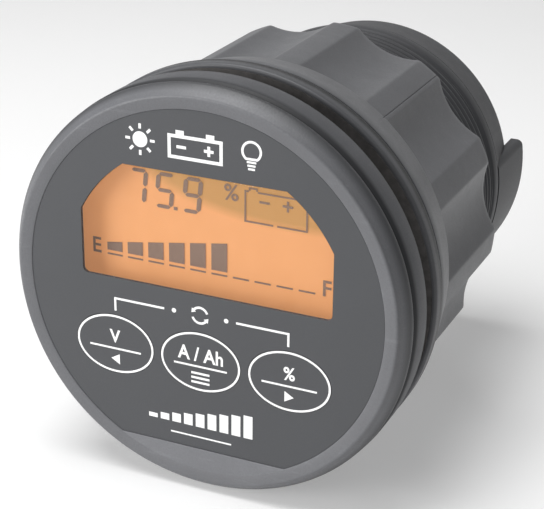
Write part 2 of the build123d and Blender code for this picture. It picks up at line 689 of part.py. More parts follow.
with BuildPart() as front_frame:
    with BuildSketch(facing(FRAME_FRONT_Y)) as frame_plate:
        Circle(FRAME_R)
        with Locations(BEZEL_SCREWS):
            Circle(BOSS_CLEARANCE_R, mode=Mode.SUBTRACT)
        with Locations(KEY_CENTRES):
            Circle(KEY_STEM_R + STEM_HOLE_GAP, mode=Mode.SUBTRACT)
    extrude(amount=reach(FRAME_FRONT_Y, FRAME_PLATE_REAR_Y))
    with BuildSketch(facing(FRAME_PLATE_REAR_Y)) as display_tray:
        with Locations((0, (TRAY_LOW_Z + TRAY_HIGH_Z) / 2)):
            Rectangle(2 * TRAY_HALF, TRAY_HIGH_Z - TRAY_LOW_Z)
        Circle(FRAME_R, mode=Mode.INTERSECT)
        with Locations(BEZEL_SCREWS):
            Circle(BOSS_CLEARANCE_R, mode=Mode.SUBTRACT)
    extrude(amount=reach(FRAME_PLATE_REAR_Y, POCKET_Y))
    with BuildSketch(facing(GUIDE_POCKET_FRONT_Y)) as guide_pocket:
        guide_outline(FRAME_GAP)
        for low, high, half in ZEBRA_ROWS:
            with Locations((0, (low + high) / 2)):
                Rectangle(2 * (half + FRAME_GAP), high - low + 2 * FRAME_GAP)
    extrude(amount=reach(GUIDE_POCKET_FRONT_Y, DISPLAY_BOARD_Y), mode=Mode.SUBTRACT)
    # posts that carry the display board
    bars(BOARD_SCREWS, POST_R, FRAME_PLATE_REAR_Y, DISPLAY_BOARD_Y)
    hole_front_y = DISPLAY_BOARD_Y - POST_HOLE_DEPTH
    bars(BOARD_SCREWS, POST_HOLE_R, DISPLAY_BOARD_Y, hole_front_y, Mode.SUBTRACT)
    with BuildSketch(facing(FRAME_FRONT_Y)) as glass_pocket:
        glass_outline(FRAME_GAP)
    extrude(amount=reach(FRAME_FRONT_Y, REAR_FILM_Y), mode=Mode.SUBTRACT)
save(front_frame, "front_frame")

with BuildPart() as front_polariser:
    with BuildSketch(facing(GLASS_FRONT_Y - FILM_T)):
        glass_outline()
    extrude(amount=reach(GLASS_FRONT_Y - FILM_T, GLASS_FRONT_Y))
save(front_polariser, "front_polariser")

with BuildPart() as display_front_glass:
    with BuildSketch(facing(GLASS_FRONT_Y)):
        glass_outline()
    extrude(amount=reach(GLASS_FRONT_Y, REAR_GLASS_Y))
save(display_front_glass, "display_front_glass")

with BuildPart() as display_rear_glass:
    with BuildSketch(facing(REAR_GLASS_Y)):
        glass_outline(ledge=GLASS_LEDGE)
    extrude(amount=reach(REAR_GLASS_Y, REAR_FILM_Y))
save(display_rear_glass, "display_rear_glass")

with BuildPart() as rear_polariser:
    with BuildSketch(facing(REAR_FILM_Y)):
        guide_outline()
    extrude(amount=reach(REAR_FILM_Y, GUIDE_FRONT_Y))
save(rear_polariser, "rear_polariser")

with BuildPart() as light_guide:
    with BuildSketch(facing(GUIDE_FRONT_Y)):
        guide_outline()
    extrude(amount=reach(GUIDE_FRONT_Y, DISPLAY_BOARD_Y - SHEET_T))
save(light_guide, "light_guide")

with BuildPart() as reflector_sheet:
    with BuildSketch(facing(DISPLAY_BOARD_Y - SHEET_T)):
        guide_outline()
    extrude(amount=reach(DISPLAY_BOARD_Y - SHEET_T, DISPLAY_BOARD_Y))
save(reflector_sheet, "reflector_sheet")

with BuildPart() as backlight_leds:
    for left_x in (-LED_OUT_X, LED_IN_X):
        right_x = left_x + LED_OUT_X - LED_IN_X
        for z in LED_ZS:
            half = LED_HEIGHT / 2
            slab((left_x, LED_FRONT_Y, z - half), (right_x, DISPLAY_BOARD_Y, z + half))
save(backlight_leds, "backlight_leds")

with BuildPart() as zebra_strips:
    for low, high, half in ZEBRA_ROWS:
        slab((-half, REAR_GLASS_Y, low), (half, DISPLAY_BOARD_Y, high))
save(zebra_strips, "zebra_strips")

# ---------------------------------------------------------------- circuit boards

with BuildPart() as display_board:
    with BuildSketch(facing(DISPLAY_BOARD_Y)):
        Circle(DISPLAY_BOARD_R)
        with Locations(BOARD_SCREWS):
            Circle(BOARD_HOLE_R, mode=Mode.SUBTRACT)
    extrude(amount=reach(DISPLAY_BOARD_Y, DISPLAY_BOARD_REAR_Y))
save(display_board, "display_board")

with BuildPart() as board_screws:
    head_y = DISPLAY_BOARD_REAR_Y + 1.0
    screws(BOARD_SCREWS, head_y, head_r=1.4, head_t=1.0, slot=(1.9, 0.35, 0.4), shank_r=0.7, shank=3.0)
save(board_screws, "board_screws")

with BuildPart() as main_board:
    slab((-MAIN_HALF, MAIN_FRONT_Y, MAIN_LOW_Z), (MAIN_HALF, MAIN_REAR_Y, MAIN_TOP_Z))
save(main_board, "main_board")

with BuildPart() as board_link_header:
    header_rear_y = DISPLAY_BOARD_REAR_Y + LINK_T
    slab((-LINK_HALF, DISPLAY_BOARD_REAR_Y, LINK_LOW_Z), (LINK_HALF, header_rear_y, LINK_HIGH_Z))
    half = LINK_PIN / 2 + 0.1
    for x in LINK_XS:
        slab((x - half, DISPLAY_BOARD_REAR_Y - OVERCUT, LINK_PIN_Z - half),
             (x + half, header_rear_y + OVERCUT, LINK_PIN_Z + half), Mode.SUBTRACT)
save(board_link_header, "board_link_header")

with BuildPart() as board_link_pins:
    half = LINK_PIN / 2
    for x in LINK_XS:
        slab((x - half, DISPLAY_BOARD_REAR_Y, LINK_PIN_Z - half),
             (x + half, LINK_PIN_REAR_Y, LINK_PIN_Z + half))
        slab((x - half, LINK_PIN_REAR_Y - LINK_PIN, MAIN_TOP_Z),
             (x + half, LINK_PIN_REAR_Y, LINK_PIN_Z))
save(board_link_pins, "board_link_pins")

# ---------------------------------------------------------------- components on the main board


def on_board(x, y, width, length, height, lift=0.0):
    """Block that stands on the main board, centred at (x, y)."""
    slab((x - width / 2, y - length / 2, MAIN_TOP_Z + lift),
         (x + width / 2, y + length / 2, MAIN_TOP_Z + lift + height))


def upright(x, y, radius, height, lift=0.0):
    """Cylinder that stands on the main board at (x, y)."""
    with BuildSketch(Plane.XY.offset(MAIN_TOP_Z + lift)) as foot:
        with Locations((x, y)):
            Circle(radius)
    extrude(foot.sketch, amount=height)


MICRO_X = -1.0
MICRO_Y = 23.0
MICRO_WIDTH = 10.0
MICRO_LIFT = 0.15

with BuildPart() as microcontroller:
    on_board(MICRO_X, MICRO_Y, MICRO_WIDTH, MICRO_WIDTH, height=1.4, lift=MICRO_LIFT)
    chamfer(edges().group_by(Axis.Z)[-1], 0.25)
save(microcontroller, "microcontroller")

with BuildPart() as microcontroller_leads:
    lead = 0.9
    out = MICRO_WIDTH / 2 + lead / 2
    for i in range(8):
        along = (i - 3.5) * 1.17
        for side in (-out, out):
            on_board(MICRO_X + side, MICRO_Y + along, width=lead, length=0.4, height=0.5)
            on_board(MICRO_X + along, MICRO_Y + side, width=0.4, length=lead, height=0.5)
save(microcontroller_leads, "microcontroller_leads")

with BuildPart() as sense_amplifier:
    on_board(0, 36.0, width=5.0, length=4.0, height=1.5)
    chamfer(edges().group_by(Axis.Z)[-1], 0.3)
save(sense_amplifier, "sense_amplifier")

with BuildPart() as clock_crystal:
    with BuildSketch(Plane.XY.offset(MAIN_TOP_Z)):
        with Locations((-13.5, 16.0)):
            SlotOverall(10.5, 4.2)
    extrude(amount=3.2)
    fillet(edges().group_by(Axis.Z)[-1], 0.5)
save(clock_crystal, "clock_crystal")

with BuildPart() as filter_capacitors:
    upright(-15.5, 31.5, radius=4.0, height=10.5)
    upright(-14.5, 23.0, radius=2.5, height=7.0)
    upright(13.5, 45.0, radius=2.5, height=7.0)
    tops = edges().filter_by(GeomType.CIRCLE).filter_by(lambda e: e.center().Z > MAIN_TOP_Z + 1)
    fillet(tops, 0.4)
save(filter_capacitors, "filter_capacitors")

with BuildPart() as alarm_relay:
    on_board(12.5, 30.0, width=10.0, length=20.0, height=10.4)
    fillet(edges().filter_by(Axis.Z), 0.5)
    chamfer(edges().group_by(Axis.Z)[-1], 0.3)
save(alarm_relay, "alarm_relay")

with BuildPart() as power_inductor:
    upright(-14.0, 42.5, radius=3.6, height=1.0)
    upright(-14.0, 42.5, radius=3.1, height=2.6, lift=1.0)
    upright(-14.0, 42.5, radius=3.6, height=1.0, lift=3.6)
save(power_inductor, "power_inductor")

with BuildPart() as voltage_regulator:
    on_board(13.25, 14.5, width=6.5, length=6.0, height=2.3)
    chamfer(edges().group_by(Axis.Z)[-1], 0.4)
    on_board(13.25, 18.15, width=4.5, length=1.3, height=0.5)
save(voltage_regulator, "voltage_regulator")

FUSE_R = 1.25
FUSE_LENGTH = 8.0

with BuildPart() as input_fuse:
    with BuildSketch(Plane.YZ.offset(-FUSE_LENGTH / 2)):
        with Locations((37.0, MAIN_LOW_Z - FUSE_R - 0.05)):
            Circle(FUSE_R)
    extrude(amount=FUSE_LENGTH)
save(input_fuse, "input_fuse")

CHIP_LENGTH = 1.6         # small parts above the board, in rows of five
CHIP_HEIGHT = 0.6
UNDER_CHIP_LENGTH = 2.0   # and the row of six below it
UNDER_CHIP_HEIGHT = 0.7

with BuildPart() as small_components:
    for row, y in enumerate((12.5, 15.0, 31.0, 41.5)):
        for column in range(5):
            on_board(-5.0 + column * 2.4 + 0.4 * row, y, CHIP_LENGTH, 0.8, CHIP_HEIGHT)
    for column in range(6):
        drop = MAIN_LOW_Z - MAIN_TOP_Z - UNDER_CHIP_HEIGHT
        on_board((column - 2.5) * 5.0, 20.6, UNDER_CHIP_LENGTH, 1.2, UNDER_CHIP_HEIGHT, lift=drop)
save(small_components, "small_components")

# ---------------------------------------------------------------- terminals

with BuildPart() as terminal_header:
    slab((-HEADER_HALF, HEADER_FRONT_Y, HEADER_LOW_Z), (HEADER_HALF, HEADER_REAR_Y, MAIN_LOW_Z))
    cavity_front_y = HEADER_FRONT_Y + HEADER_WALL
    slab((-HEADER_CAVITY, cavity_front_y, -HEADER_CAVITY),
         (HEADER_CAVITY, HEADER_REAR_Y + OVERCUT, HEADER_CAVITY_TOP_Z), Mode.SUBTRACT)
    # relief above the plug, open to the rear
    relief_low_z = MAIN_LOW_Z - 0.5
    slab((-HEADER_HALF - OVERCUT, MAIN_REAR_Y + 0.1, relief_low_z),
         (HEADER_HALF + OVERCUT, HEADER_REAR_Y + OVERCUT, MAIN_TOP_Z), Mode.SUBTRACT)
save(terminal_header, "terminal_header")

with BuildPart() as header_pins:
    half = HEADER_PIN / 2
    for x in WAY_XS:
        slab((x - half, HEADER_FRONT_Y + HEADER_WALL, WIRE_Z - half),
             (x + half, HEADER_PIN_REAR_Y, WIRE_Z + half))
save(header_pins, "header_pins")

with BuildPart() as terminal_plug:
    slab((-PLUG_HALF, PLUG_FRONT_Y, PLUG_LOW_Z), (PLUG_HALF, PLUG_REAR_Y, PLUG_HIGH_Z))
    chamfer(edges().filter_by(Axis.Y), 0.4)
    for x in WAY_XS:
        # the pin's slot, the cage's chamber, then the wire's entry
        slab((x - PIN_SLOT / 2, PLUG_FRONT_Y - OVERCUT, WIRE_Z - PIN_SLOT / 2),
             (x + PIN_SLOT / 2, CAGE_FRONT_Y, WIRE_Z + PIN_SLOT / 2), Mode.SUBTRACT)
        slab((x - CHAMBER_WIDTH / 2, CAGE_FRONT_Y, CHAMBER_LOW_Z),
             (x + CHAMBER_WIDTH / 2, CAGE_REAR_Y, CHAMBER_HIGH_Z), Mode.SUBTRACT)
        slab((x - WIRE_HOLE / 2, CAGE_REAR_Y, WIRE_Z - WIRE_HOLE / 2),
             (x + WIRE_HOLE / 2, PLUG_REAR_Y + OVERCUT, WIRE_Z + WIRE_HOLE / 2), Mode.SUBTRACT)
    clamp_points = [(x, CLAMP_SCREW_Z) for x in WAY_XS]
    hole_front_y = PLUG_REAR_Y - CLAMP_HOLE_DEPTH
    bars(clamp_points, CLAMP_SCREW_R + CLAMP_SCREW_GAP, PLUG_REAR_Y, hole_front_y, Mode.SUBTRACT)
save(terminal_plug, "terminal_plug")

with BuildPart() as clamp_cages:
    half = CAGE_WIDTH / 2
    for x in WAY_XS:
        slab((x - half, CAGE_START_Y, CAGE_LOW_Z), (x + half, CAGE_END_Y, CAGE_HIGH_Z))
        slab((x - half + CAGE_WALL_X, CAGE_START_Y - OVERCUT, CAGE_LOW_Z + CAGE_WALL_Z),
             (x + half - CAGE_WALL_X, CAGE_END_Y + OVERCUT, CAGE_HIGH_Z - CAGE_WALL_Z), Mode.SUBTRACT)
save(clamp_cages, "clamp_cages")

with BuildPart() as clamp_screws:
    screws(clamp_points, CLAMP_SCREW_HEAD_Y, CLAMP_SCREW_R, head_t=0.8, slot=(3.0, 0.45, 0.8),
           shank_r=CLAMP_SCREW_R, shank=9.0)
save(clamp_screws, "clamp_screws")

# ---------------------------------------------------------------- communication socket

with BuildPart() as comm_socket:
    slab((-SOCKET_HALF, SOCKET_FRONT_Y, MAIN_TOP_Z), (SOCKET_HALF, SOCKET_REAR_Y, SOCKET_HIGH_Z))
    slab((-PORT_HALF, PORT_FRONT_Y, PORT_LOW_Z),
         (PORT_HALF, SOCKET_REAR_Y + OVERCUT, PORT_HIGH_Z), Mode.SUBTRACT)
    for half, top_z in LATCH_STEPS:
        slab((-half, LATCH_FRONT_Y, PORT_HIGH_Z - OVERCUT),
             (half, SOCKET_REAR_Y + OVERCUT, top_z), Mode.SUBTRACT)
save(comm_socket, "comm_socket")

with BuildPart() as comm_contacts:
    for i in range(CONTACTS):
        x = (i - (CONTACTS - 1) / 2) * CONTACT_PITCH
        with BuildSketch(Plane.YZ.offset(x - CONTACT_WIRE / 2)) as spring_wire:
            with BuildLine():
                Polyline(
                    (PORT_FRONT_Y, 2.9),
                    (61.0, 2.5),
                    (61.6, 2.5),
                    (61.6, 2.9),
                    (53.6, 5.0),
                    (PORT_FRONT_Y, 5.0),
                    close=True,
                )
            make_face()
        extrude(amount=CONTACT_WIRE)
save(comm_contacts, "comm_contacts")
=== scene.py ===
"""Looks for the round panel-mount battery monitor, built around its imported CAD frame.

The axis of the body is Y, the front faces -Y, +X is the viewer's right and +Z is up.
Shapes are worked out in millimetres from the frame's boxes and made into meshes in metres.
"""

import json
from math import atan2, cos, degrees, exp, log, pi, radians, sin, sqrt

import bmesh
import bpy
from mathutils import Matrix, Vector
from mathutils.geometry import tessellate_polygon


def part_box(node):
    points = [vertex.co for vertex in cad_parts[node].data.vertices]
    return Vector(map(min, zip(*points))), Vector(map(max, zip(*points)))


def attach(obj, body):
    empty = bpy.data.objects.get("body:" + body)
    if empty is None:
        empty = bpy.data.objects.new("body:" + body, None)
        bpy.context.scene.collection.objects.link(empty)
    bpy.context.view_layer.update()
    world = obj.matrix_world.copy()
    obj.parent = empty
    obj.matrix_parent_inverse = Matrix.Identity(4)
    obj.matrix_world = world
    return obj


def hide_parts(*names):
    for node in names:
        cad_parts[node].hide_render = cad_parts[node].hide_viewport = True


MM = 0.001
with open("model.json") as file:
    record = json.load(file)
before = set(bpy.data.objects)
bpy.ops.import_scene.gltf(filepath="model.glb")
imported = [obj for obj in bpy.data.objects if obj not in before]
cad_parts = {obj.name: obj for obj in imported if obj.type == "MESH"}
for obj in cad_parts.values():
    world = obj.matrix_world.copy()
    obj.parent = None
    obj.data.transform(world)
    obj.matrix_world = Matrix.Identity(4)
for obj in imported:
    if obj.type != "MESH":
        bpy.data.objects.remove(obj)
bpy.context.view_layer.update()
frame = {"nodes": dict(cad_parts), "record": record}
scene = bpy.context.scene


def box_mm(node):
    """Lowest and highest corner of a CAD node, in millimetres."""
    low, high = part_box(node)
    return low / MM, high / MM


# ------------------------------------------------------------------ driving sizes, mm

BEZEL_LOW, BEZEL_HIGH = box_mm("front_bezel")
OVERLAY_LOW, OVERLAY_HIGH = box_mm("face_overlay")
LENS_LOW, LENS_HIGH = box_mm("window_lens")
CLAMP_LOW, CLAMP_HIGH = box_mm("clamp_ring")
GASKET_HIGH = box_mm("panel_gasket")[1]
NUT_LOW, NUT_HIGH = box_mm("ring_nut")
BARREL_LOW, BARREL_HIGH = box_mm("threaded_barrel")
FILM_LOW = box_mm("front_polariser")[0]

BEZEL_R = BEZEL_HIGH.x
FACE_Y = OVERLAY_LOW.y
PLATE_Y = OVERLAY_HIGH.y          # front of the bezel's plate, behind the overlay
PLATE_REAR_Y = -5.4
PLATE_R = 28.6
RECESS_R = 28.43                  # bore of the front ring, just outside the overlay
RING_IN_R = 29.3                  # inside of the front ring behind the plate
CROWN_CENTRE = (30.15, -7.18)     # small round at the front of the ring, as (radius, y)
CROWN_ROUND = 0.54
SHOULDER_CENTRE = (23.3, -0.93)   # large round down the ring's outside
SHOULDER_ROUND = 9.78
SEAM_Y = BARREL_LOW.y             # joint between bezel and barrel flange
SEAM_R = 31.35                    # bottom of the groove at that joint
LABEL_R = OVERLAY_HIGH.x
LABEL_FLAT_Z = OVERLAY_LOW.z
LABEL_SPREAD = 0.06               # the overlay reaches this much further out than its CAD sheet
FOOT_GAP = 0.08                   # line between the overlay's flat foot and the bare face
FOOT_RISE = 0.1                   # the bare face stands this far in front of the overlay

WINDOW_X = 0.5
WINDOW_HALF = 20.05
WINDOW_LOW_Z = 0.55
WINDOW_HIGH_Z = 18.75
WINDOW_ARC_R = 22.75
WINDOW_CORNER_R = 0.9
LENS_BODY = 1.9                   # how far the lens reaches past the window behind the overlay

KEYS = {side: box_mm(f"key_{side}") for side in ("left", "middle", "right")}
KEY_CENTRES = {
    side: ((low.x + high.x) / 2, (low.z + high.z) / 2) for side, (low, high) in KEYS.items()
}
KEY_A = 6.52                      # half width of an oval key
KEY_B = 4.8                       # half height
KEY_GAP = 0.07
KEY_SKIRT = 0.55                  # how far a key spreads behind the plate
KEY_SKIRT_Y = -5.35
KEY_REAR_Y = -4.8
KEY_STEM_R = 2.2

NECK_R = 26.0
NECK_REAR_Y = 4.0
FLANGE_BORE_R = 28.0
FLANGE_POCKET = 3.0               # depth of the flange's wide bore
BARREL_BORE_R = 24.0
THREAD_R = 25.95
THREAD_ROOT_R = 25.1
THREAD_PITCH = 1.5
THREAD_FRONT_Y = 5.0
THREAD_REAR_Y = 51.5
THREAD_FADE_FRONT = 1.2           # the ridge grows to its full height over this length
THREAD_FADE_REAR = 1.0            # and dies away over this length at the rear
THREAD_ROWS = 10                  # rows of points to each turn of the thread
BARREL_POINTS = 180
BAND_R = 25.85                    # plain band behind the thread

NUT_BORE_R = 26.3
NUT_R = 30.0
NUT_REAR_EDGE = 0.3
FLUTES = 12
FLUTE_START_Y = 15.6
FLUTE_R = 12.3
FLUTE_CENTRE_R = 40.4
FLUTE_PHASE = 69.25               # degrees
FLUTE_BLEND = 0.10                # softness of the edge between crest and flute
PARTING_ANGLE = 51.4              # degrees; the mould line, and another opposite it
PARTING_DEPTH = 0.12
PARTING_HALF = 0.2                # half its width, in degrees

INK_T = 0.02                      # thickness of the white print
SEGMENT_T = 0.03                  # thickness of the display's dark segments
ROUND = 256                       # points round a turned piece


# ------------------------------------------------------------------ materials


class Shader:
    """A node material with short helpers for wiring it up."""

    def __init__(self, name):
        self.material = bpy.data.materials.new(name)
        self.material.use_nodes = True
        self.tree = self.material.node_tree
        self.bsdf = self.tree.nodes["Principled BSDF"]
        self.output = self.tree.nodes["Material Output"]

    def node(self, kind, **settings):
        made = self.tree.nodes.new(kind)
        for key, value in settings.items():
            setattr(made, key, value)
        return made

    def link(self, source, target):
        self.tree.links.new(source, target)

    def where(self, stretch=(1, 1, 1)):
        """Object-space position in millimetres, stretched along each axis."""
        coords = self.node("ShaderNodeTexCoord")
        mapping = self.node("ShaderNodeMapping")
        mapping.inputs["Scale"].default_value = [s / MM for s in stretch]
        self.link(coords.outputs["Object"], mapping.inputs["Vector"])
        return mapping.outputs["Vector"]

    def noise(self, size_mm, detail=3.0, roughness=0.5, stretch=(1, 1, 1)):
        """Noise whose features are about size_mm across."""
        made = self.node("ShaderNodeTexNoise")
        made.inputs["Scale"].default_value = 1 / size_mm
        made.inputs["Detail"].default_value = detail
        made.inputs["Roughness"].default_value = roughness
        self.link(self.where(stretch), made.inputs["Vector"])
        return made.outputs["Fac"]

    def remap(self, value, low, high, to_low, to_high):
        made = self.node("ShaderNodeMapRange")
        made.clamp = True
        made.inputs["From Min"].default_value = low
        made.inputs["From Max"].default_value = high
        made.inputs["To Min"].default_value = to_low
        made.inputs["To Max"].default_value = to_high
        self.link(value, made.inputs["Value"])
        return made.outputs["Result"]

    def maths(self, operation, a, b=0.0):
        made = self.node("ShaderNodeMath", operation=operation)
        for socket, value in zip(made.inputs, (a, b)):
            if isinstance(value, (int, float)):
                socket.default_value = value
            else:
                self.link(value, socket)
        return made.outputs["Value"]

    def mix(self, factor, a, b):
        """Colour a where factor is 0 and b where it is 1."""
        made = self.node("ShaderNodeMix", data_type="RGBA")
        self.link(factor, made.inputs["Factor"])
        for socket, value in ((made.inputs["A"], a), (made.inputs["B"], b)):
            if isinstance(value, tuple):
                socket.default_value = (*value, 1.0)
            else:
                self.link(value, socket)
        return made.outputs["Result"]

    def bump(self, height, depth_mm, under=None):
        made = self.node("ShaderNodeBump")
        made.inputs["Distance"].default_value = depth_mm * MM
        self.link(height, made.inputs["Height"])
        if under is not None:
            self.link(under, made.inputs["Normal"])
        return made.outputs["Normal"]

    def finish(self, colour=None, roughness=None, normal=None, **plain):
        """Wire colour, roughness and normal, and set the shader's plain values."""
        for socket, value in (("Base Color", colour), ("Roughness", roughness), ("Normal", normal)):
            if isinstance(value, tuple):
                self.bsdf.inputs[socket].default_value = (*value, 1.0)
            elif isinstance(value, float):
                self.bsdf.inputs[socket].default_value = value
            elif value is not None:
                self.link(value, self.bsdf.inputs[socket])
        for name, value in plain.items():
            socket = name.replace("_", " ").title().replace("Ior", "IOR")
            self.bsdf.inputs[socket].default_value = value
        return self.material


def tint(colour, factor):
    return tuple(min(1.0, c * factor) for c in colour)


def moulded(name, colour, roughness, grain_mm, grain_depth, gloss=0.45, shade_zones=()):
    """Moulded plastic: spark-eroded grain, faint flow marks, scuffed edges and fine scratches.

    Each zone is a stretch of painted shade along Y: y where it starts, y where it is full, its share of
    the colour.
    """
    s = Shader(name)
    grain = s.noise(grain_mm, 2.0, 0.6)
    flow = s.noise(9.0, 3.0, 0.55)
    scuff = s.noise(2.4, 6.0, 0.7)
    scratch = s.remap(s.noise(0.9, 2.0, 0.4, (0.12, 1.0, 1.0)), 0.66, 0.74, 0.0, 1.0)
    geometry = s.node("ShaderNodeNewGeometry")
    edge = s.remap(geometry.outputs["Pointiness"], 0.53, 0.62, 0.0, 1.0)
    worn = s.maths("MULTIPLY", edge, s.remap(scuff, 0.35, 0.7, 0.1, 1.0))
    base = s.mix(s.remap(flow, 0.3, 0.7, 0.0, 1.0), tint(colour, 0.93), tint(colour, 1.07))
    base = s.mix(s.remap(grain, 0.35, 0.65, 0.0, 0.55), base, tint(colour, 0.86))
    base = s.mix(s.maths("MULTIPLY", worn, 0.25), base, tint(colour, 2.2))
    base = s.mix(s.maths("MULTIPLY", scratch, 0.10), base, tint(colour, 1.9))
    rough = s.remap(s.maths("ADD", s.maths("MULTIPLY", grain, 0.5), s.maths("MULTIPLY", scuff, 0.5)),
                    0.3, 0.7, roughness - 0.07, roughness + 0.08)
    rough = s.maths("SUBTRACT", rough, s.maths("MULTIPLY", worn, 0.10))
    height = s.maths("SUBTRACT", grain, s.maths("MULTIPLY", scratch, 0.3))
    # painted shade: each zone darkens the colour between two stations along Y
    for start_y, full_y, share in shade_zones:
        separate = s.node("ShaderNodeSeparateXYZ")
        s.link(s.where(), separate.inputs["Vector"])
        inside = s.remap(separate.outputs["Y"], start_y, full_y, 0.0, 1.0)
        base = s.mix(inside, base, tint(colour, share))
    return s.finish(base, rough, s.bump(height, grain_depth), specular_ior_level=gloss)


def printed_film(name, colour):
    """Satin printed film: a very fine matte texture with a slight orange peel."""
    s = Shader(name)
    fine = s.noise(0.12, 1.0, 0.5)
    peel = s.noise(1.8, 2.0, 0.5)
    cloud = s.noise(14.0, 3.0, 0.5)
    base = s.mix(s.remap(cloud, 0.3, 0.7, 0.0, 1.0), tint(colour, 0.97), tint(colour, 1.03))
    base = s.mix(s.remap(fine, 0.3, 0.7, 0.0, 0.4), base, tint(colour, 0.92))
    rough = s.remap(fine, 0.3, 0.7, 0.50, 0.62)
    normal = s.bump(fine, 0.003, s.bump(peel, 0.01))
    return s.finish(base, rough, normal, specular_ior_level=0.4)


def white_ink():
    """Screen-printed white, slightly uneven in cover."""
    s = Shader("white_ink")
    cover = s.noise(0.35, 3.0, 0.6)
    base = s.mix(s.remap(cover, 0.3, 0.7, 0.0, 1.0), (0.93, 0.93, 0.93), (0.99, 0.99, 0.98))
    rough = s.remap(cover, 0.3, 0.7, 0.45, 0.6)
    return s.finish(base, rough, s.bump(cover, 0.004), specular_ior_level=0.3)


SHADE_CENTRE = (13.0, 24.0)       # middle of the display's ellipse of painted shade, x and z in mm
SHADE_HALF = (30.0, 12.6)


def amber_film():
    """Front of the lit display: amber film, with painted shade: dimmer inside an ellipse towards its upper
    right.
    """
    s = Shader("amber_display")
    separate = s.node("ShaderNodeSeparateXYZ")
    s.link(s.where(), separate.inputs["Vector"])
    x, z = separate.outputs["X"], separate.outputs["Z"]
    shade_x = s.maths("DIVIDE", s.maths("SUBTRACT", x, SHADE_CENTRE[0]), SHADE_HALF[0])
    shade_z = s.maths("DIVIDE", s.maths("SUBTRACT", z, SHADE_CENTRE[1]), SHADE_HALF[1])
    square_x = s.maths("MULTIPLY", shade_x, shade_x)
    square_z = s.maths("MULTIPLY", shade_z, shade_z)
    reach = s.maths("ADD", square_x, square_z)
    # painted shade: inside the ellipse both the glow and the film's colour are darker
    lit = s.remap(reach, 0.82, 1.06, 0.0, 1.0)
    mottle = s.noise(3.5, 3.0, 0.5)
    weave = s.noise(0.3, 1.0, 0.5)
    lit_colour = s.mix(s.remap(mottle, 0.3, 0.7, 0.0, 1.0), (0.86, 0.34, 0.115), (0.92, 0.38, 0.14))
    colour = s.mix(lit, (0.56, 0.275, 0.075), lit_colour)
    colour = s.mix(s.remap(weave, 0.3, 0.7, 0.0, 0.08), colour, (0.75, 0.4, 0.2))
    s.link(colour, s.bsdf.inputs["Emission Color"])
    film = s.mix(lit, (0.35, 0.18, 0.06), (0.5, 0.24, 0.1))
    normal = s.bump(weave, 0.002)
    return s.finish(film, 0.45, normal, emission_strength=0.47, specular_ior_level=0.2)


def segment_print():
    """Dark liquid-crystal segments, finely streaked, with a little light of their own."""
    s = Shader("segment_dark")
    streak = s.noise(0.25, 2.0, 0.5)
    base = s.mix(s.remap(streak, 0.3, 0.7, 0.0, 1.0), (0.17, 0.11, 0.085), (0.23, 0.15, 0.115))
    s.bsdf.inputs["Emission Color"].default_value = (0.5, 0.3, 0.2, 1.0)
    return s.finish(base, 0.5, s.bump(streak, 0.002), emission_strength=0.12, specular_ior_level=0.2)


def clear_pane(name="clear_window"):
    """Clear plastic that shows what is behind it unbent, with its mirror reflection."""
    s = Shader(name)
    s.tree.nodes.remove(s.bsdf)
    clear = s.node("ShaderNodeBsdfTransparent")
    clear.inputs["Color"].default_value = (0.985, 0.985, 0.98, 1)
    gloss = s.node("ShaderNodeBsdfGlossy")
    smear = s.noise(6.0, 4.0, 0.6)
    s.link(s.remap(smear, 0.35, 0.75, 0.05, 0.14), gloss.inputs["Roughness"])
    fresnel = s.node("ShaderNodeFresnel")
    fresnel.inputs["IOR"].default_value = 1.49
    front = s.maths("SUBTRACT", 1.0, s.node("ShaderNodeNewGeometry").outputs["Backfacing"])
    mix = s.node("ShaderNodeMixShader")
    s.link(s.maths("MULTIPLY", fresnel.outputs["Fac"], front), mix.inputs["Fac"])
    s.link(clear.outputs["BSDF"], mix.inputs[1])
    s.link(gloss.outputs["BSDF"], mix.inputs[2])
    s.link(mix.outputs["Shader"], s.output.inputs["Surface"])
    return s.material


def rubber(name, colour):
    s = Shader(name)
    bloom = s.noise(1.2, 5.0, 0.6)
    base = s.mix(s.remap(bloom, 0.3, 0.7, 0.0, 1.0), colour, tint(colour, 1.6))
    rough = s.remap(bloom, 0.3, 0.7, 0.6, 0.8)
    return s.finish(base, rough, s.bump(s.noise(0.15), 0.01), specular_ior_level=0.3)


def metal(name, colour, roughness):
    """Plated metal, slightly uneven, with a few dull brown spots."""
    s = Shader(name)
    cloud = s.noise(0.2, 3.0, 0.6)
    spot = s.remap(s.noise(1.6, 5.0, 0.65), 0.6, 0.75, 0.0, 0.6)
    clean = s.mix(s.remap(cloud, 0.3, 0.7, 0.0, 1.0), tint(colour, 0.85), tint(colour, 1.1))
    base = s.mix(spot, clean, (0.3, 0.22, 0.15))
    rough = s.remap(cloud, 0.3, 0.7, roughness - 0.08, roughness + 0.1)
    rough = s.maths("ADD", rough, s.maths("MULTIPLY", spot, 0.3))
    return s.finish(base, rough, s.bump(cloud, 0.006), metallic=1.0)


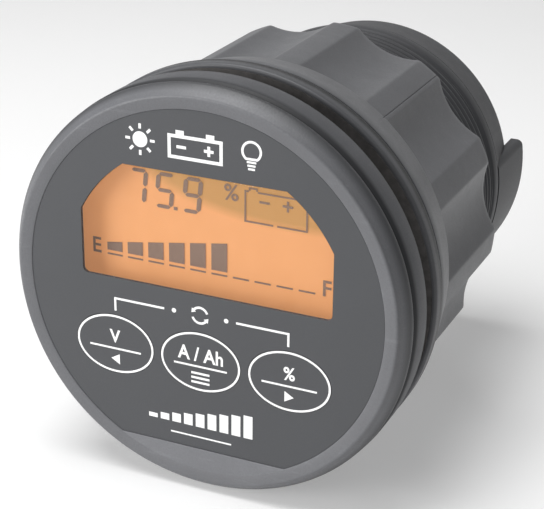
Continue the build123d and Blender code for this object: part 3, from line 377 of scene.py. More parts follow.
def circuit_board():
    """Green solder mask, with lighter lines for the tracks under it."""
    s = Shader("circuit_board")
    brick = s.node("ShaderNodeTexBrick")
    brick.inputs["Scale"].default_value = 1.0
    brick.inputs["Mortar Size"].default_value = 0.12
    brick.inputs["Brick Width"].default_value = 3.2
    brick.inputs["Row Height"].default_value = 1.1
    brick.inputs["Color1"].default_value = (0.008, 0.085, 0.03, 1)
    brick.inputs["Color2"].default_value = (0.01, 0.10, 0.038, 1)
    brick.inputs["Mortar"].default_value = (0.02, 0.17, 0.065, 1)
    s.link(s.where(), brick.inputs["Vector"])
    cloud = s.noise(4.0, 3.0, 0.5)
    base = s.mix(s.remap(cloud, 0.35, 0.7, 0.0, 0.35), brick.outputs["Color"], (0.006, 0.06, 0.022))
    normal = s.bump(brick.outputs["Fac"], 0.02, s.bump(s.noise(0.4), 0.006))
    return s.finish(base, s.remap(cloud, 0.3, 0.7, 0.28, 0.42), normal, coat_weight=0.3)


def body_plastic(name, colour, roughness=0.4, variation=0.12, grain_mm=0.3):
    """Small moulded or potted component bodies."""
    s = Shader(name)
    cloud = s.noise(2.0, 4.0, 0.6)
    grain = s.noise(grain_mm, 2.0, 0.5)
    patchy = s.remap(cloud, 0.3, 0.7, 0.0, 1.0)
    base = s.mix(patchy, tint(colour, 1 - variation), tint(colour, 1 + variation))
    rough = s.remap(grain, 0.3, 0.7, roughness - 0.06, roughness + 0.08)
    return s.finish(base, rough, s.bump(grain, 0.008))


CASE_GREY = (0.130, 0.132, 0.141)
LABEL_GREY = (0.068, 0.070, 0.0755)
FLANGE_SHADE = (-3.2, -4.3, 0.38)  # painted shade, darker towards the seam
BAND_SHADE = (38.0, 42.0, 0.62)    # painted shadow of the nut, darker behind it
RING_SHADE = (-6.95, -6.0, 0.5)    # painted shade, darker down the front ring's side
CLAMP_SHADE = (5.2, 6.0, 0.12)     # painted shade of the seam, nearly black beside the nut

MATERIALS = {
    "bezel_plastic": moulded("bezel_moulding", CASE_GREY, 0.46, 0.26, 0.02),
    # painted shade: the barrel's copy of the case grey is darkened to 0.8, and more in its zones
    "barrel_plastic": moulded("barrel_moulding", tint(CASE_GREY, 0.8), 0.5, 0.2, 0.008, gloss=0.2,
                              shade_zones=(FLANGE_SHADE, BAND_SHADE)),
    "nut_plastic": moulded("nut_moulding", tint(CASE_GREY, 0.9), 0.42, 0.2, 0.008),
    "overlay_print": printed_film("overlay_film", LABEL_GREY),
    "key_print": printed_film("key_film", LABEL_GREY),
    "clear_window": clear_pane(),
    "adhesive": body_plastic("adhesive_film", (0.02, 0.02, 0.02), 0.6),
    "seal_rubber": rubber("seal_rubber", (0.014, 0.014, 0.015)),
    "screw_steel": metal("zinc_plate", (0.62, 0.61, 0.58), 0.32),
    "terminal_steel": metal("nickel_plate", (0.66, 0.64, 0.6), 0.25),
    "frame_plastic": body_plastic("frame_black", (0.022, 0.022, 0.024), 0.5),
    "switch_cap": body_plastic("switch_cap", (0.02, 0.02, 0.02), 0.45),
    "display_film": amber_film(),
    "rear_film": body_plastic("rear_film", (0.5, 0.28, 0.12), 0.3, 0.05),
    "display_glass": clear_pane("display_glass"),
    "guide_acrylic": body_plastic("guide_acrylic", (0.85, 0.6, 0.35), 0.35, 0.05),
    "reflector": body_plastic("reflector_film", (0.85, 0.85, 0.83), 0.4, 0.03),
    "led_resin": body_plastic("led_resin", (0.9, 0.5, 0.12), 0.25, 0.05),
    "contact_rubber": rubber("contact_rubber", (0.09, 0.09, 0.1)),
    "circuit_board": circuit_board(),
    "chip_epoxy": body_plastic("chip_epoxy", (0.016, 0.016, 0.018), 0.5, 0.2, 0.12),
    "chip_parts": body_plastic("chip_ceramic", (0.36, 0.27, 0.19), 0.45, 0.25),
    "contact_metal": metal("gold_flash", (0.85, 0.62, 0.28), 0.25),
    "connector_plastic": body_plastic("connector_black", (0.018, 0.018, 0.02), 0.42),
    "plug_plastic": body_plastic("plug_green", (0.02, 0.16, 0.045), 0.4),
    "can_metal": metal("can_metal", (0.68, 0.68, 0.68), 0.3),
    "capacitor_sleeve": body_plastic("capacitor_sleeve", (0.015, 0.018, 0.05), 0.22),
    "relay_plastic": body_plastic("relay_white", (0.74, 0.74, 0.7), 0.35, 0.05),
    "ferrite": body_plastic("ferrite", (0.04, 0.04, 0.042), 0.65),
    "fuse_glass": body_plastic("fuse_ceramic", (0.68, 0.66, 0.58), 0.35),
}
FOOT_PLASTIC = moulded("foot_moulding", tint(CASE_GREY, 1.3), 0.46, 0.26, 0.02)
RING_PLASTIC = moulded("ring_moulding", tint(CASE_GREY, 1.06), 0.46, 0.26, 0.035,
                       shade_zones=(RING_SHADE,))
CLAMP_PLASTIC = moulded("clamp_moulding", tint(CASE_GREY, 0.72), 0.42, 0.2, 0.008, gloss=0.3,
                        shade_zones=(CLAMP_SHADE,))
GASKET_FOAM = rubber("gasket_foam", (0.072, 0.068, 0.066))
INK = white_ink()
SEGMENTS = segment_print()

for part in frame["record"]["subparts"]:
    mesh = frame["nodes"][part["node"]].data
    mesh.materials.clear()
    mesh.materials.append(MATERIALS[part["material_slot"]])


# ------------------------------------------------------------------ making pieces


def place(name, mesh, body, material_slot, material=None, replaced=(), sharp=32.0):
    """Turn a bmesh in millimetres into a piece that rides on a body."""
    bmesh.ops.remove_doubles(mesh, verts=mesh.verts, dist=1e-5)
    bmesh.ops.dissolve_degenerate(mesh, edges=mesh.edges, dist=1e-6)
    bmesh.ops.recalc_face_normals(mesh, faces=mesh.faces)
    bmesh.ops.scale(mesh, vec=(MM, MM, MM), verts=mesh.verts)
    limit = radians(sharp)
    for edge in mesh.edges:
        edge.smooth = len(edge.link_faces) == 2 and edge.calc_face_angle(0.0) < limit
    for face in mesh.faces:
        face.smooth = True
    data = bpy.data.meshes.new(name)
    mesh.to_mesh(data)
    mesh.free()
    data.materials.append(material or MATERIALS[material_slot])
    piece = bpy.data.objects.new(name, data)
    scene.collection.objects.link(piece)
    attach(piece, body)
    if replaced:
        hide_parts(*replaced)


def bridge(mesh, rows):
    """Quads between each row of points and the next."""
    for a, b in zip(rows, rows[1:]):
        for i in range(len(a)):
            j = (i + 1) % len(a)
            mesh.faces.new((a[i], a[j], b[j], b[i]))


def loops_to_mesh(loops):
    """Closed skin through loops of equal length, the last joined to the first."""
    mesh = bmesh.new()
    rows = [[mesh.verts.new(p) for p in loop] for loop in loops]
    bridge(mesh, rows + rows[:1])
    return mesh


def turned(profile, points=ROUND):
    """Closed profile of (radius, y) turned about the Y axis."""
    angles = [2 * pi * i / points for i in range(points)]
    return loops_to_mesh([[(r * cos(t), y, r * sin(t)) for t in angles] for r, y in profile])


def arc(centre, radius, start, end, count):
    """Points on an arc, angles in degrees."""
    steps = [radians(start + (end - start) * i / count) for i in range(count + 1)]
    return [(centre[0] + radius * cos(t), centre[1] + radius * sin(t)) for t in steps]


def inset(loop, amount):
    """A closed outline moved inwards by amount; the outline runs anticlockwise."""
    out = []
    n = len(loop)
    for i in range(n):
        a, b, c = (Vector(loop[k % n]) for k in (i - 1, i, i + 1))
        u, v = (b - a).normalized(), (c - b).normalized()
        left_u, left_v = Vector((-u.y, u.x)), Vector((-v.y, v.x))
        bisector = left_u + left_v
        out.append(tuple(b + bisector * amount / (1 + left_u.dot(left_v))))
    return out


def area(loop):
    return sum(a[0] * b[1] - b[0] * a[1] for a, b in zip(loop, loop[1:] + loop[:1])) / 2


def slab(outline, front_y, rear_y, holes=(), edge=0.0, mesh=None):
    """Flat piece between two stations, with holes and an optional eased front edge."""
    mesh = mesh or bmesh.new()
    loops = [outline if area(outline) > 0 else outline[::-1]]
    loops += [hole if area(hole) < 0 else hole[::-1] for hole in holes]
    stations = [(front_y, edge), (front_y + edge, 0.0)] if edge else [(front_y, 0.0)]
    stations.append((rear_y, 0.0))
    caps = []
    for loop in loops:
        rows = []
        for y, amount in stations:
            shape = inset(loop, amount) if amount else loop
            rows.append([mesh.verts.new((x, y, z)) for x, z in shape])
        caps.append((rows[0], rows[-1]))
        bridge(mesh, rows)
    for side in (0, 1):
        verts = [v for cap in caps for v in cap[side]]
        flat = [[Vector((v.co.x, v.co.z, 0)) for v in cap[side]] for cap in caps]
        for triangle in tessellate_polygon(flat):
            mesh.faces.new([verts[i] for i in triangle])
    return mesh


def oval_loop(centre, half_x, half_z, count=96):
    angles = [2 * pi * i / count for i in range(count)]
    return [(centre[0] + half_x * cos(t), centre[1] + half_z * sin(t)) for t in angles]


def circle_loop(radius, centre=(0.0, 0.0), count=ROUND):
    return oval_loop(centre, radius, radius, count)


def flat_foot_loop(radius, flat_z):
    """Circle cut off straight at flat_z."""
    start = degrees(atan2(flat_z, sqrt(radius**2 - flat_z**2)))
    return arc((0, 0), radius, start, 180 - start, ROUND)


def window_loop(grow=0.0):
    """Face window: straight foot and sides, upper corners cut by an arc centred level with the axis."""
    half, low, high = WINDOW_HALF + grow, WINDOW_LOW_Z - grow, WINDOW_HIGH_Z + grow
    ring = WINDOW_ARC_R + grow
    corner = WINDOW_CORNER_R + grow
    x0 = WINDOW_X
    top = degrees(atan2(high, sqrt(ring**2 - high**2)))
    side = degrees(atan2(sqrt(ring**2 - half**2), half))
    points = arc((x0 - half + corner, low + corner), corner, 180, 270, 8)
    points += arc((x0 + half - corner, low + corner), corner, -90, 0, 8)
    points += arc((x0, 0), ring, side, top, 24)
    points += arc((x0, 0), ring, 180 - top, 180 - side, 24)
    return points


# ------------------------------------------------------------------ bezel, overlay and window


def key_holes():
    return [oval_loop(c, KEY_A + KEY_GAP, KEY_B + KEY_GAP) for c in KEY_CENTRES.values()]


def make_bezel():
    # (radius, y), from the overlay's edge out over the front and back down to the seam
    profile = [
        (RECESS_R, PLATE_Y),
        (RECESS_R, FACE_Y - 0.02),
        (RECESS_R + 0.05, FACE_Y - 0.08),
        (PLATE_R, FACE_Y - 0.12),
        (RING_IN_R, FACE_Y - 0.24),
    ]
    profile += arc(CROWN_CENTRE, CROWN_ROUND, -99.0, -50.0, 6)
    profile += arc(SHOULDER_CENTRE, SHOULDER_ROUND, -42.0, -29.5, 8)
    profile += [
        (BEZEL_R - 0.14, PLATE_REAR_Y),
        (BEZEL_R - 0.2, PLATE_REAR_Y + 0.25),
        (BEZEL_R - 0.4, PLATE_REAR_Y + 0.52),
        (SEAM_R, SEAM_Y - 0.04),
        (RING_IN_R, SEAM_Y),
        (RING_IN_R, PLATE_REAR_Y),
        (RECESS_R, PLATE_REAR_Y),
    ]
    ring = turned(profile)
    place("bezel_ring", ring, "case", "bezel_plastic", RING_PLASTIC, replaced=("front_bezel",))

    plate = slab(circle_loop(PLATE_R), PLATE_Y, PLATE_REAR_Y, [window_loop(LENS_BODY)] + key_holes())
    place("bezel_plate", plate, "case", "bezel_plastic")

    # the part of the face that the overlay's flat foot leaves bare
    foot_z = LABEL_FLAT_Z - FOOT_GAP
    half = sqrt(PLATE_R**2 - foot_z**2)
    segment = arc((0, 0), PLATE_R, degrees(atan2(foot_z, -half)), degrees(atan2(foot_z, half)), 48)
    foot = slab(segment, FACE_Y - FOOT_RISE, PLATE_Y, edge=0.06)
    place("bezel_foot", foot, "case", "bezel_plastic", FOOT_PLASTIC)


def make_overlay():
    outline = flat_foot_loop(LABEL_R + LABEL_SPREAD, LABEL_FLAT_Z)
    mesh = slab(outline, FACE_Y, PLATE_Y, [window_loop()] + key_holes(), edge=0.04)
    place("overlay", mesh, "case", "overlay_print", replaced=("face_overlay",))


def make_window():
    """Clear pane: its front fills the overlay's opening, and it widens behind the overlay."""
    mesh = bmesh.new()
    gap = 0.05
    steps = [
        (LENS_LOW.y, -2 * gap),
        (LENS_LOW.y + gap, -gap),
        (PLATE_Y, -gap),
        (PLATE_Y, LENS_BODY - gap),
        (LENS_HIGH.y, LENS_BODY - gap),
    ]
    rows = [[mesh.verts.new((x, y, z)) for x, z in window_loop(grow)] for y, grow in steps]
    bridge(mesh, rows)
    mesh.faces.new(rows[0])
    mesh.faces.new(rows[-1])
    place("window_pane", mesh, "case", "clear_window", replaced=("window_lens",))


def make_keys():
    for side, centre in KEY_CENTRES.items():
        mesh = slab(oval_loop(centre, KEY_A, KEY_B), FACE_Y, KEY_REAR_Y, edge=0.05)
        skirt = oval_loop(centre, KEY_A + KEY_SKIRT, KEY_B + KEY_SKIRT)
        slab(skirt, KEY_SKIRT_Y, KEY_REAR_Y, mesh=mesh)
        stem_end = KEYS[side][1].y
        slab(circle_loop(KEY_STEM_R, centre, 48), KEY_REAR_Y, stem_end, mesh=mesh)
        place(f"key_cap_{side}", mesh, f"{side}_key", "key_print", replaced=(f"key_{side}",))


# ------------------------------------------------------------------ barrel, clamp ring and nut


def clamped(value):
    return min(1.0, max(0.0, value))


def thread_radius(angle, y):
    """Radius of the barrel's outside: a helix that fades out at both ends.

    Known fault: the helix is left-handed, and the nut's joint turns as on a right-hand thread.
    """
    phase = ((y - THREAD_FRONT_Y) / THREAD_PITCH - angle / (2 * pi)) % 1.0
    ridge = clamped((0.5 - abs(phase - 0.5)) / 0.36 - 0.05)
    ridge = ridge * ridge * (3 - 2 * ridge)
    grown = clamped((y - THREAD_FRONT_Y) / THREAD_FADE_FRONT)
    left = clamped((THREAD_REAR_Y - y) / THREAD_FADE_REAR)
    return THREAD_ROOT_R + (THREAD_R - THREAD_ROOT_R) * ridge * grown * left


def make_barrel():
    angles = [2 * pi * i / BARREL_POINTS for i in range(BARREL_POINTS)]
    rear = BARREL_HIGH.y
    head = [
        (FLANGE_BORE_R, SEAM_Y + FLANGE_POCKET),
        (FLANGE_BORE_R, SEAM_Y),
        (SEAM_R, SEAM_Y),
        (SEAM_R + 0.05, SEAM_Y + 0.04),
        (BEZEL_R - 0.1, SEAM_Y + 0.45),
        (BEZEL_R, SEAM_Y + 0.8),
        (BEZEL_R, -0.25),
        (BEZEL_R - 0.06, -0.08),
        (BEZEL_R - 0.2, 0.0),
        (NECK_R + 0.2, 0.0),
        (NECK_R, 0.2),
        (NECK_R, NECK_REAR_Y),
        (THREAD_ROOT_R, NECK_REAR_Y + 0.4),
    ]
    tail = [
        (THREAD_ROOT_R, THREAD_REAR_Y + 0.05),
        (BAND_R - 0.05, THREAD_REAR_Y + 0.35),
        (BAND_R, THREAD_REAR_Y + 0.45),
        (BAND_R, rear - 0.3),
        (BAND_R - 0.08, rear - 0.1),
        (BAND_R - 0.25, rear),
        (BARREL_BORE_R, rear),
        (BARREL_BORE_R, SEAM_Y + FLANGE_POCKET),
    ]

    def ring(y, radius_at):
        return [(radius_at(t) * cos(t), y, radius_at(t) * sin(t)) for t in angles]

    length = THREAD_REAR_Y - THREAD_FRONT_Y
    rows = int(length / THREAD_PITCH * THREAD_ROWS)
    loops = [ring(y, lambda t: r) for r, y in head]
    for k in range(rows + 1):
        y = THREAD_FRONT_Y + length * k / rows
        loops.append(ring(y, lambda t: thread_radius(t, y)))
    loops += [ring(y, lambda t: r) for r, y in tail]
    barrel = loops_to_mesh(loops)
    place("barrel", barrel, "case", "barrel_plastic", replaced=("threaded_barrel",), sharp=50)


def make_clamp():
    front, rear, outer = CLAMP_LOW.y, CLAMP_HIGH.y, CLAMP_HIGH.x
    gasket_r, gasket_rear = GASKET_HIGH.x, GASKET_HIGH.y
    front_round, rear_chamfer, foam_edge = 0.5, 0.5, 0.1
    profile = [
        (NUT_BORE_R, rear),
        (NUT_BORE_R, gasket_rear),
        (gasket_r, gasket_rear),
        (gasket_r, front),
    ]
    profile += arc((outer - front_round, front + front_round), front_round, -90, 0, 8)
    profile += [(outer, rear - 1.1), (outer - 0.06, rear - 0.85), (outer - rear_chamfer, rear)]
    rim = turned(profile)
    place("clamp_rim", rim, "clamp", "nut_plastic", CLAMP_PLASTIC, replaced=("clamp_ring",))

    foam = [
        (NUT_BORE_R, gasket_rear),
        (NUT_BORE_R, front + foam_edge),
        (NUT_BORE_R + foam_edge, front),
        (gasket_r - foam_edge, front),
        (gasket_r, front + foam_edge),
        (gasket_r, gasket_rear),
    ]
    place("gasket", turned(foam), "clamp", "seal_rubber", GASKET_FOAM, replaced=("panel_gasket",))


def flute_radius(angle):
    """Outside radius of the fluted length at an angle in degrees: crest or flute floor, softly blended."""
    pitch = 360 / FLUTES
    off = radians((angle - FLUTE_PHASE + pitch / 2) % pitch - pitch / 2)
    inside = FLUTE_R**2 - (FLUTE_CENTRE_R * sin(off))**2
    floor = FLUTE_CENTRE_R * cos(off) - sqrt(inside) if inside > 0 else NUT_R + 5
    gap = (floor - NUT_R) / FLUTE_BLEND
    if gap > 12:
        return NUT_R
    if gap < -12:
        return floor
    return NUT_R - FLUTE_BLEND * log(1 + exp(-gap))


def nut_angles():
    """Angles round the nut, closer together at the crest edges and the mould lines."""
    pitch = 360 / FLUTES
    half = [0, 1.5, 3, 4.5, 6, 7.2, 8.2, 9, 9.6, 10.0, 10.3, 10.5, 10.65, 10.8, 10.95, 11.1]
    half += [11.3, 11.6, 12, 12.6, 13.3, 14.1, pitch / 2]
    sector = {-a for a in half if a < pitch / 2} | set(half)
    angles = {round((FLUTE_PHASE + pitch * k + a) % 360, 4) for k in range(FLUTES) for a in sector}
    for line in (PARTING_ANGLE, PARTING_ANGLE + 180):
        angles |= {round((line + a) % 360, 4) for a in (-0.26, -0.16, 0.0, 0.16, 0.26)}
    return sorted(angles)


def make_nut():
    angles = nut_angles()
    fluted = {a: flute_radius(a) for a in angles}
    front, rear = NUT_LOW.y, NUT_HIGH.y
    cone_r = NUT_HIGH.x
    mould_line = {}
    for a in angles:
        off = abs(((a - PARTING_ANGLE + 90) % 180) - 90)
        mould_line[a] = PARTING_DEPTH * max(0.0, 1 - off / PARTING_HALF)

    def cone(y):
        return cone_r + (NUT_R - cone_r) * (y - front) / (FLUTE_START_Y - front)

    def ring(y, radius_at):
        return [(radius_at(a) * cos(radians(a)), y, radius_at(a) * sin(radians(a))) for a in angles]

    def plain(y, radius):
        return ring(y, lambda a: radius)

    def step(y, share):
        """Row on the wall at the front of the flutes, share of the way down to the flute floor."""
        top = cone(min(y, FLUTE_START_Y))
        return ring(y, lambda a: top - share * (top - fluted[a]) - mould_line[a])

    def flute_row(y, less=0.0):
        return ring(y, lambda a: fluted[a] - less - mould_line[a])

    loops = [
        plain(rear - 0.5, NUT_BORE_R),
        plain(front, NUT_BORE_R),
        plain(front, cone_r - 0.35),
        plain(front + 0.08, cone_r - 0.12),
    ]
    loops += [plain(y, cone(y)) for y in (front + 0.3, front + 2.5, front + 5.0, FLUTE_START_Y - 0.7)]
    wall = ((-0.4, 0.0), (-0.16, 0.015), (-0.05, 0.06), (0.0, 0.14),
            (0.03, 0.5), (0.08, 0.86), (0.16, 0.95), (0.35, 1.0))
    loops += [step(FLUTE_START_Y + dy, share) for dy, share in wall]
    fluted_length = rear - FLUTE_START_Y
    loops += [flute_row(FLUTE_START_Y + fluted_length * f) for f in (0.08, 0.25, 0.5, 0.75, 0.95)]
    loops += [flute_row(rear - NUT_REAR_EDGE), flute_row(rear - 0.1, 0.06), flute_row(rear, 0.25)]
    loops += [plain(rear, NUT_BORE_R + 0.5)]
    nut = loops_to_mesh(loops)
    place("fluted_nut", nut, "nut", "nut_plastic", replaced=("ring_nut",), sharp=40)


make_bezel()
make_overlay()
make_window()
make_keys()
make_barrel()
make_clamp()
make_nut()


# ------------------------------------------------------------------ print and display symbols


def bar(x0, x1, z0, z1):
    return [(x0, z0), (x1, z0), (x1, z1), (x0, z1)]


def lettering(words, height, centre, weight, squeeze):
    """Plain lettering as a flat bmesh in X and Z, height and centre in millimetres."""
    curve = bpy.data.curves.new("lettering", "FONT")
    curve.body = words
    curve.size = 1.0
    curve.offset = weight
    curve.resolution_u = 8
    holder = bpy.data.objects.new("lettering", curve)
    scene.collection.objects.link(holder)
    bpy.context.view_layer.update()
    data = bpy.data.meshes.new_from_object(holder.evaluated_get(bpy.context.evaluated_depsgraph_get()))
    bpy.data.objects.remove(holder)
    mesh = bmesh.new()
    mesh.from_mesh(data)
    bpy.data.meshes.remove(data)
    xs, zs = [v.co.x for v in mesh.verts], [v.co.y for v in mesh.verts]
    scale = height / (max(zs) - min(zs))
    middle_x, middle_z = (min(xs) + max(xs)) / 2, (min(zs) + max(zs)) / 2
    for v in mesh.verts:
        x = (v.co.x - middle_x) * scale * squeeze + centre[0]
        z = (v.co.y - middle_z) * scale + centre[1]
        v.co = Vector((x, 0.0, z))
    return mesh


def raise_flat(mesh, front_y, rear_y):
    """Give flat lettering its thickness between two stations."""
    for v in mesh.verts:
        v.co.y = rear_y
    grown = bmesh.ops.extrude_face_region(mesh, geom=list(mesh.faces))
    for v in (g for g in grown["geom"] if isinstance(g, bmesh.types.BMVert)):
        v.co.y = front_y
    return mesh


def join(target, other):
    """Move the faces of one bmesh into another."""
    lookup = {v: target.verts.new(v.co) for v in other.verts}
    for face in other.faces:
        target.faces.new([lookup[v] for v in face.verts])
    other.free()


DISPLAY_Y = FILM_LOW.y - 0.13     # the plane the segments lie in
DIGIT_SLANT = 0.1
DIGIT_BASE_Z = 11.46
POINT = (-6.05, -5.45, 11.48, 11.98)  # decimal point: left, right, low, high
LETTER_Z = 3.69                   # middle of the E and the F
BLOCK_PITCH = 3.47                # charge gauge: ten dashes, six of them under a block
BLOCK_W = 2.55
BLOCK_X = -17.35
DASH_LOW_Z = 2.46
DASH_HIGH_Z = 2.73
BLOCK_LOW_Z = 3.19


class Print:
    """Thin raised shapes of one ink on one body."""

    def __init__(self, front_y, rear_y):
        self.front_y, self.rear_y = front_y, rear_y
        self.mesh = bmesh.new()

    def shape(self, outline, *holes):
        slab(outline, self.front_y, self.rear_y, holes, mesh=self.mesh)

    def text(self, words, height, centre, weight, squeeze=1.0):
        flat = lettering(words, height, centre, weight, squeeze)
        join(self.mesh, raise_flat(flat, self.front_y, self.rear_y))

    def place(self, name, body, material_slot, material):
        place(name, self.mesh, body, material_slot, material)


def slanted(loop, base_z):
    return [(x + (z - base_z) * DIGIT_SLANT, z) for x, z in loop]


def digit_segments(left, base, width, height, thick, lit):
    """Outlines of the lit segments of one seven-segment digit. Segments are a to g."""
    gap, half = 0.07, thick / 2
    thin = half * 0.8             # half the thickness of the level segments
    right, top, middle = left + width, base + height, base + height / 2

    def flat(z):
        x0, x1 = left + half + gap, right - half - gap
        return [(x0, z), (x0 + thin, z - thin), (x1 - thin, z - thin),
                (x1, z), (x1 - thin, z + thin), (x0 + thin, z + thin)]

    def upright(x, z0, z1):
        z0, z1 = z0 + gap, z1 - gap
        return [(x, z0), (x + half, z0 + half), (x + half, z1 - half),
                (x, z1), (x - half, z1 - half), (x - half, z0 + half)]

    low, high = base + thin, top - thin
    shapes = {
        "a": flat(high), "g": flat(middle), "d": flat(low),
        "f": upright(left + half, middle, high), "b": upright(right - half, middle, high),
        "e": upright(left + half, low, middle), "c": upright(right - half, low, middle),
    }
    return [slanted(shapes[name], base) for name in lit]


def battery_outline(ink):
    """Outline of a small battery on the display, with gaps, terminals and the two signs."""
    stroke = 0.26
    left, right, low, high, top = 5.27, 15.08, 11.65, 16.5, 17.0
    cap_left, cap_right = 5.95, 7.35
    gap_left, gap_right = 9.77, 10.4
    sign_low, sign_high = 14.85, 15.2
    plus_left, plus_right = 11.83, 12.17
    for outline in (
        bar(left, left + stroke, low, high),
        bar(right - stroke, right, low, high),
        bar(left + stroke, gap_left, low, low + stroke),
        bar(gap_right, right - stroke, low, low + stroke),
        bar(left + stroke, cap_left, high - stroke, high),
        bar(cap_right, right - stroke, high - stroke, high),
        bar(cap_left, cap_left + stroke, high, top),
        bar(cap_right - stroke, cap_right, high, top),
        bar(cap_left + stroke, cap_right - stroke, top - stroke, top),
        bar(7.6, 9.2, sign_low, sign_high),
        bar(11.2, 12.8, sign_low, sign_high),
        bar(plus_left, plus_right, sign_high, 15.83),
        bar(plus_left, plus_right, 14.22, sign_low),
    ):
        ink.shape(outline)


def make_display():
    ink = Print(DISPLAY_Y, DISPLAY_Y + SEGMENT_T)
    digit = dict(base=DIGIT_BASE_Z, width=3.1, height=5.55, thick=0.7)
    for left, lit in ((-13.77, "abc"), (-9.31, "afgcd"), (-4.85, "abfgcd")):
        for outline in digit_segments(left, lit=lit, **digit):
            ink.shape(outline)
    ink.shape(bar(*POINT))
    ink.text("%", 2.5, (3.2, 15.75), 0.012)
    ink.text("E", 2.46, (-19.1, LETTER_Z), 0.012, 0.95)
    ink.text("F", 2.46, (18.25, LETTER_Z), 0.012, 0.95)
    for k in range(10):
        x = BLOCK_X + k * BLOCK_PITCH
        ink.shape(bar(x, x + BLOCK_W, DASH_LOW_Z, DASH_HIGH_Z))
        if k < 6:
            left_z, right_z = 4.42 + 0.578 * k, 4.81 + 0.584 * k
            end = x + BLOCK_W
            ink.shape([(x, BLOCK_LOW_Z), (end, BLOCK_LOW_Z), (end, right_z), (x, left_z)])
    battery_outline(ink)
    ink.place("display_segments", "case", "display_film", SEGMENTS)


def ring_sector(centre, radius, width, start, end):
    outside = arc(centre, radius + width / 2, start, end, 20)
    return outside + arc(centre, radius - width / 2, end, start, 20)


def arrow_tip(centre, radius, angle, size):
    """Triangle that ends an anticlockwise circular arrow at an angle on its circle."""
    t = radians(angle)
    out, along = Vector((cos(t), sin(t))), Vector((-sin(t), cos(t)))
    base = Vector(centre) + out * radius
    half_width = out * size * 0.75
    return [tuple(base + half_width), tuple(base + along * size * 1.2), tuple(base - half_width)]


def battery_icon(ink, centre, width, height, stroke):
    x, z = centre
    w, h = width / 2, height / 2
    cap, reach, thin = 0.65, 0.75, 0.22   # half a terminal, half a sign and half a sign's line
    inside = bar(x - w + stroke, x + w - stroke, z - h + stroke, z + h - stroke)
    ink.shape(bar(x - w, x + w, z - h, z + h), inside)
    for side in (-1, 1):
        terminal, sign = x + side * w * 0.55, x + side * w * 0.5
        ink.shape(bar(terminal - cap, terminal + cap, z + h, z + h + cap))
        ink.shape(bar(sign - reach, sign + reach, z - thin, z + thin))
    for low, high in ((thin, reach), (-reach, -thin)):
        ink.shape(bar(x + w * 0.5 - thin, x + w * 0.5 + thin, z + low, z + high))


def sun_icon(ink, centre, radius):
    ink.shape(circle_loop(radius * 0.5, centre, 40))
    for k in range(8):
        t = radians(45 * k)
        out, side = Vector((cos(t), sin(t))), Vector((-sin(t), cos(t))) * 0.2
        a, b = Vector(centre) + out * radius * 0.68, Vector(centre) + out * radius
        ink.shape([tuple(a - side), tuple(b - side), tuple(b + side), tuple(a + side)])


def lamp_icon(ink, centre, radius):
    x, z = centre
    glass = arc((x, z + radius * 0.2), radius * 0.75, -55, 235, 36)
    ink.shape(glass, inset(glass, 0.36))
    for k in range(3):
        half, low = 0.72 - 0.1 * k, z - radius * 0.62 - 0.5 * k
        ink.shape(bar(x - half, x + half, low, low + 0.3))


def make_face_print():
    ink = Print(FACE_Y - INK_T, FACE_Y)
    battery_icon(ink, (-0.7, 22.7), 8.6, 3.6, 0.5)
    sun_icon(ink, (-9.4, 22.9), 2.35)
    lamp_icon(ink, (8.0, 23.3), 2.1)
    # bracket that joins the two outer keys, with a two-arrow sign in it
    stroke, top, foot, reach, level = 0.34, -2.6, -4.8, 8.4, -2.75
    for side, x in ((1, -14.4), (-1, 14.1)):
        ink.shape(bar(*sorted((x, x + side * stroke)), foot, top))
        ink.shape(bar(*sorted((x + side * stroke, x + side * reach)), top - stroke, top))
    centre, radius = (-0.15, level), 1.25
    for start in (20, 200):
        ink.shape(ring_sector(centre, radius, 0.36, start, start + 120))
        ink.shape(arrow_tip(centre, radius, start + 120, 0.55))
    for x in (-4.4, 4.1):
        ink.shape(circle_loop(0.36, (x, level), 24))
    # rising bars under the keys
    for k in range(9):
        x = -8.9 + k * 1.98
        ink.shape(bar(x, x + 1.45, -21.3, -20.6 + 0.385 * k))
    ink.shape(bar(-5.2, 4.9, -23.15, -22.9))
    ink.place("face_print", "case", "overlay_print", INK)


def make_key_print():
    for side, (x, z) in KEY_CENTRES.items():
        ink = Print(FACE_Y - INK_T, FACE_Y)
        ink.shape(oval_loop((x, z), 6.5, 4.76), oval_loop((x, z), 6.17, 4.43))
        ink.shape(bar(x - 4.36, x + 4.36, z - 0.93, z - 0.63))
        if side == "middle":
            ink.text("A / Ah", 2.35, (x, z + 1.2), 0.02, 0.88)
            for k in range(3):
                ink.shape(bar(x - 1.5, x + 1.5, z - 2.1 - 0.75 * k, z - 1.75 - 0.75 * k))
        else:
            ink.text("V" if side == "left" else "%", 2.15, (x, z + 1.25), 0.02, 0.92)
            point = -1 if side == "left" else 1
            base = x - point * 0.7
            ink.shape([(x + point * 0.75, z - 2.5), (base, z - 3.35), (base, z - 1.65)])
        ink.place(f"key_print_{side}", f"{side}_key", "key_print", INK)


make_display()
make_face_print()
make_key_print()


# ------------------------------------------------------------------ room, lights and camera


def plain_white(name, colour, roughness, glow):
    """Plain matt backdrop, with a little light of its own that thins the shadows on it."""
    s = Shader(name)
    s.bsdf.inputs["Emission Color"].default_value = (1.0, 1.0, 1.0, 1.0)
    cloud = s.noise(60.0, 2.0, 0.5)
    base = s.mix(s.remap(cloud, 0.3, 0.7, 0.0, 1.0), tint(colour, 0.99), colour)
    return s.finish(base, roughness, emission_strength=glow, specular_ior_level=0.1)


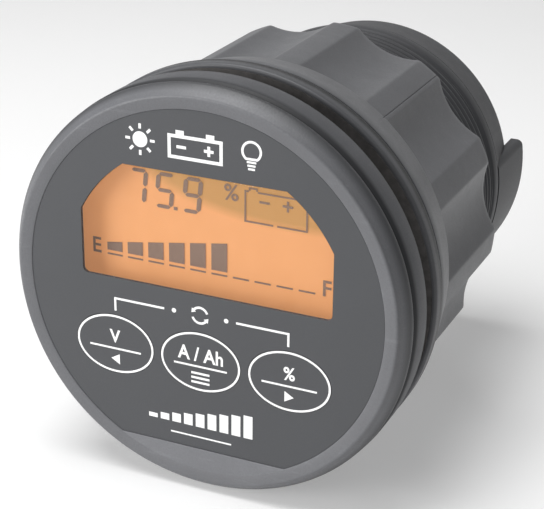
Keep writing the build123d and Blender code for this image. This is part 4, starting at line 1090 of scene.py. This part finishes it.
def make_room():
    floor = bmesh.new()
    floor_z = BEZEL_LOW.z
    reach, rise, turn, half_width = 900.0, 700.0, 250.0, 1400.0
    outline = [(-reach, floor_z)]
    outline += arc((reach - turn, floor_z + turn), turn, -90, 0, 18)
    outline += [(reach, rise)]
    rows = [[floor.verts.new((x, y, z)) for x in (-half_width, half_width)] for y, z in outline]
    for a, b in zip(rows, rows[1:]):
        floor.faces.new((a[0], a[1], b[1], b[0]))
    bmesh.ops.scale(floor, vec=(MM, MM, MM), verts=floor.verts)
    data = bpy.data.meshes.new("floor")
    floor.to_mesh(data)
    floor.free()
    for polygon in data.polygons:
        polygon.use_smooth = True
    data.materials.append(plain_white("floor_white", (0.7, 0.7, 0.7), 0.9, 0.31))
    sweep = bpy.data.objects.new("floor", data)
    scene.collection.objects.link(sweep)


def softbox(name, position, target, size, power):
    lamp = bpy.data.lights.new(name, "AREA")
    lamp.shape = "RECTANGLE"
    lamp.size, lamp.size_y = size[0] * MM, size[1] * MM
    lamp.energy = power
    holder = bpy.data.objects.new(name, lamp)
    holder.location = Vector(position) * MM
    holder.rotation_euler = (Vector(target) - Vector(position)).to_track_quat("-Z", "Y").to_euler()
    scene.collection.objects.link(holder)


def make_lights():
    world = bpy.data.worlds.new("studio")
    world.use_nodes = True
    world.node_tree.nodes["Background"].inputs["Color"].default_value = (1.0, 1.0, 1.0, 1.0)
    world.node_tree.nodes["Background"].inputs["Strength"].default_value = 0.065
    scene.world = world
    softbox("key_light", (-370, -480, 120), (0, 10, 0), (420, 420), 3.6)
    softbox("top_light", (-90, -60, 470), (0, 20, 0), (320, 320), 2.3)


AZIMUTH, ELEVATION, ROLL = radians(24.17), radians(23.19), radians(0.64)
CAMERA_AT = Vector((95.4, -194.9, 97.1))


def make_camera():
    camera = bpy.data.cameras.new("camera")
    camera.sensor_width = 36.0
    camera.lens = 105.9
    camera.clip_start, camera.clip_end = 0.01, 20.0
    holder = bpy.data.objects.new("camera", camera)
    forward = Vector((-sin(AZIMUTH) * cos(ELEVATION), cos(AZIMUTH) * cos(ELEVATION), -sin(ELEVATION)))
    level = forward.cross(Vector((0, 0, 1))).normalized()
    upright = level.cross(forward)
    right = level * cos(ROLL) + upright * sin(ROLL)
    up = right.cross(forward)
    holder.matrix_world = Matrix((
        (right.x, up.x, -forward.x, CAMERA_AT.x * MM),
        (right.y, up.y, -forward.y, CAMERA_AT.y * MM),
        (right.z, up.z, -forward.z, CAMERA_AT.z * MM),
        (0, 0, 0, 1),
    ))
    scene.collection.objects.link(holder)
    scene.camera = holder


make_room()
make_lights()
make_camera()
scene.view_settings.view_transform = "Standard"
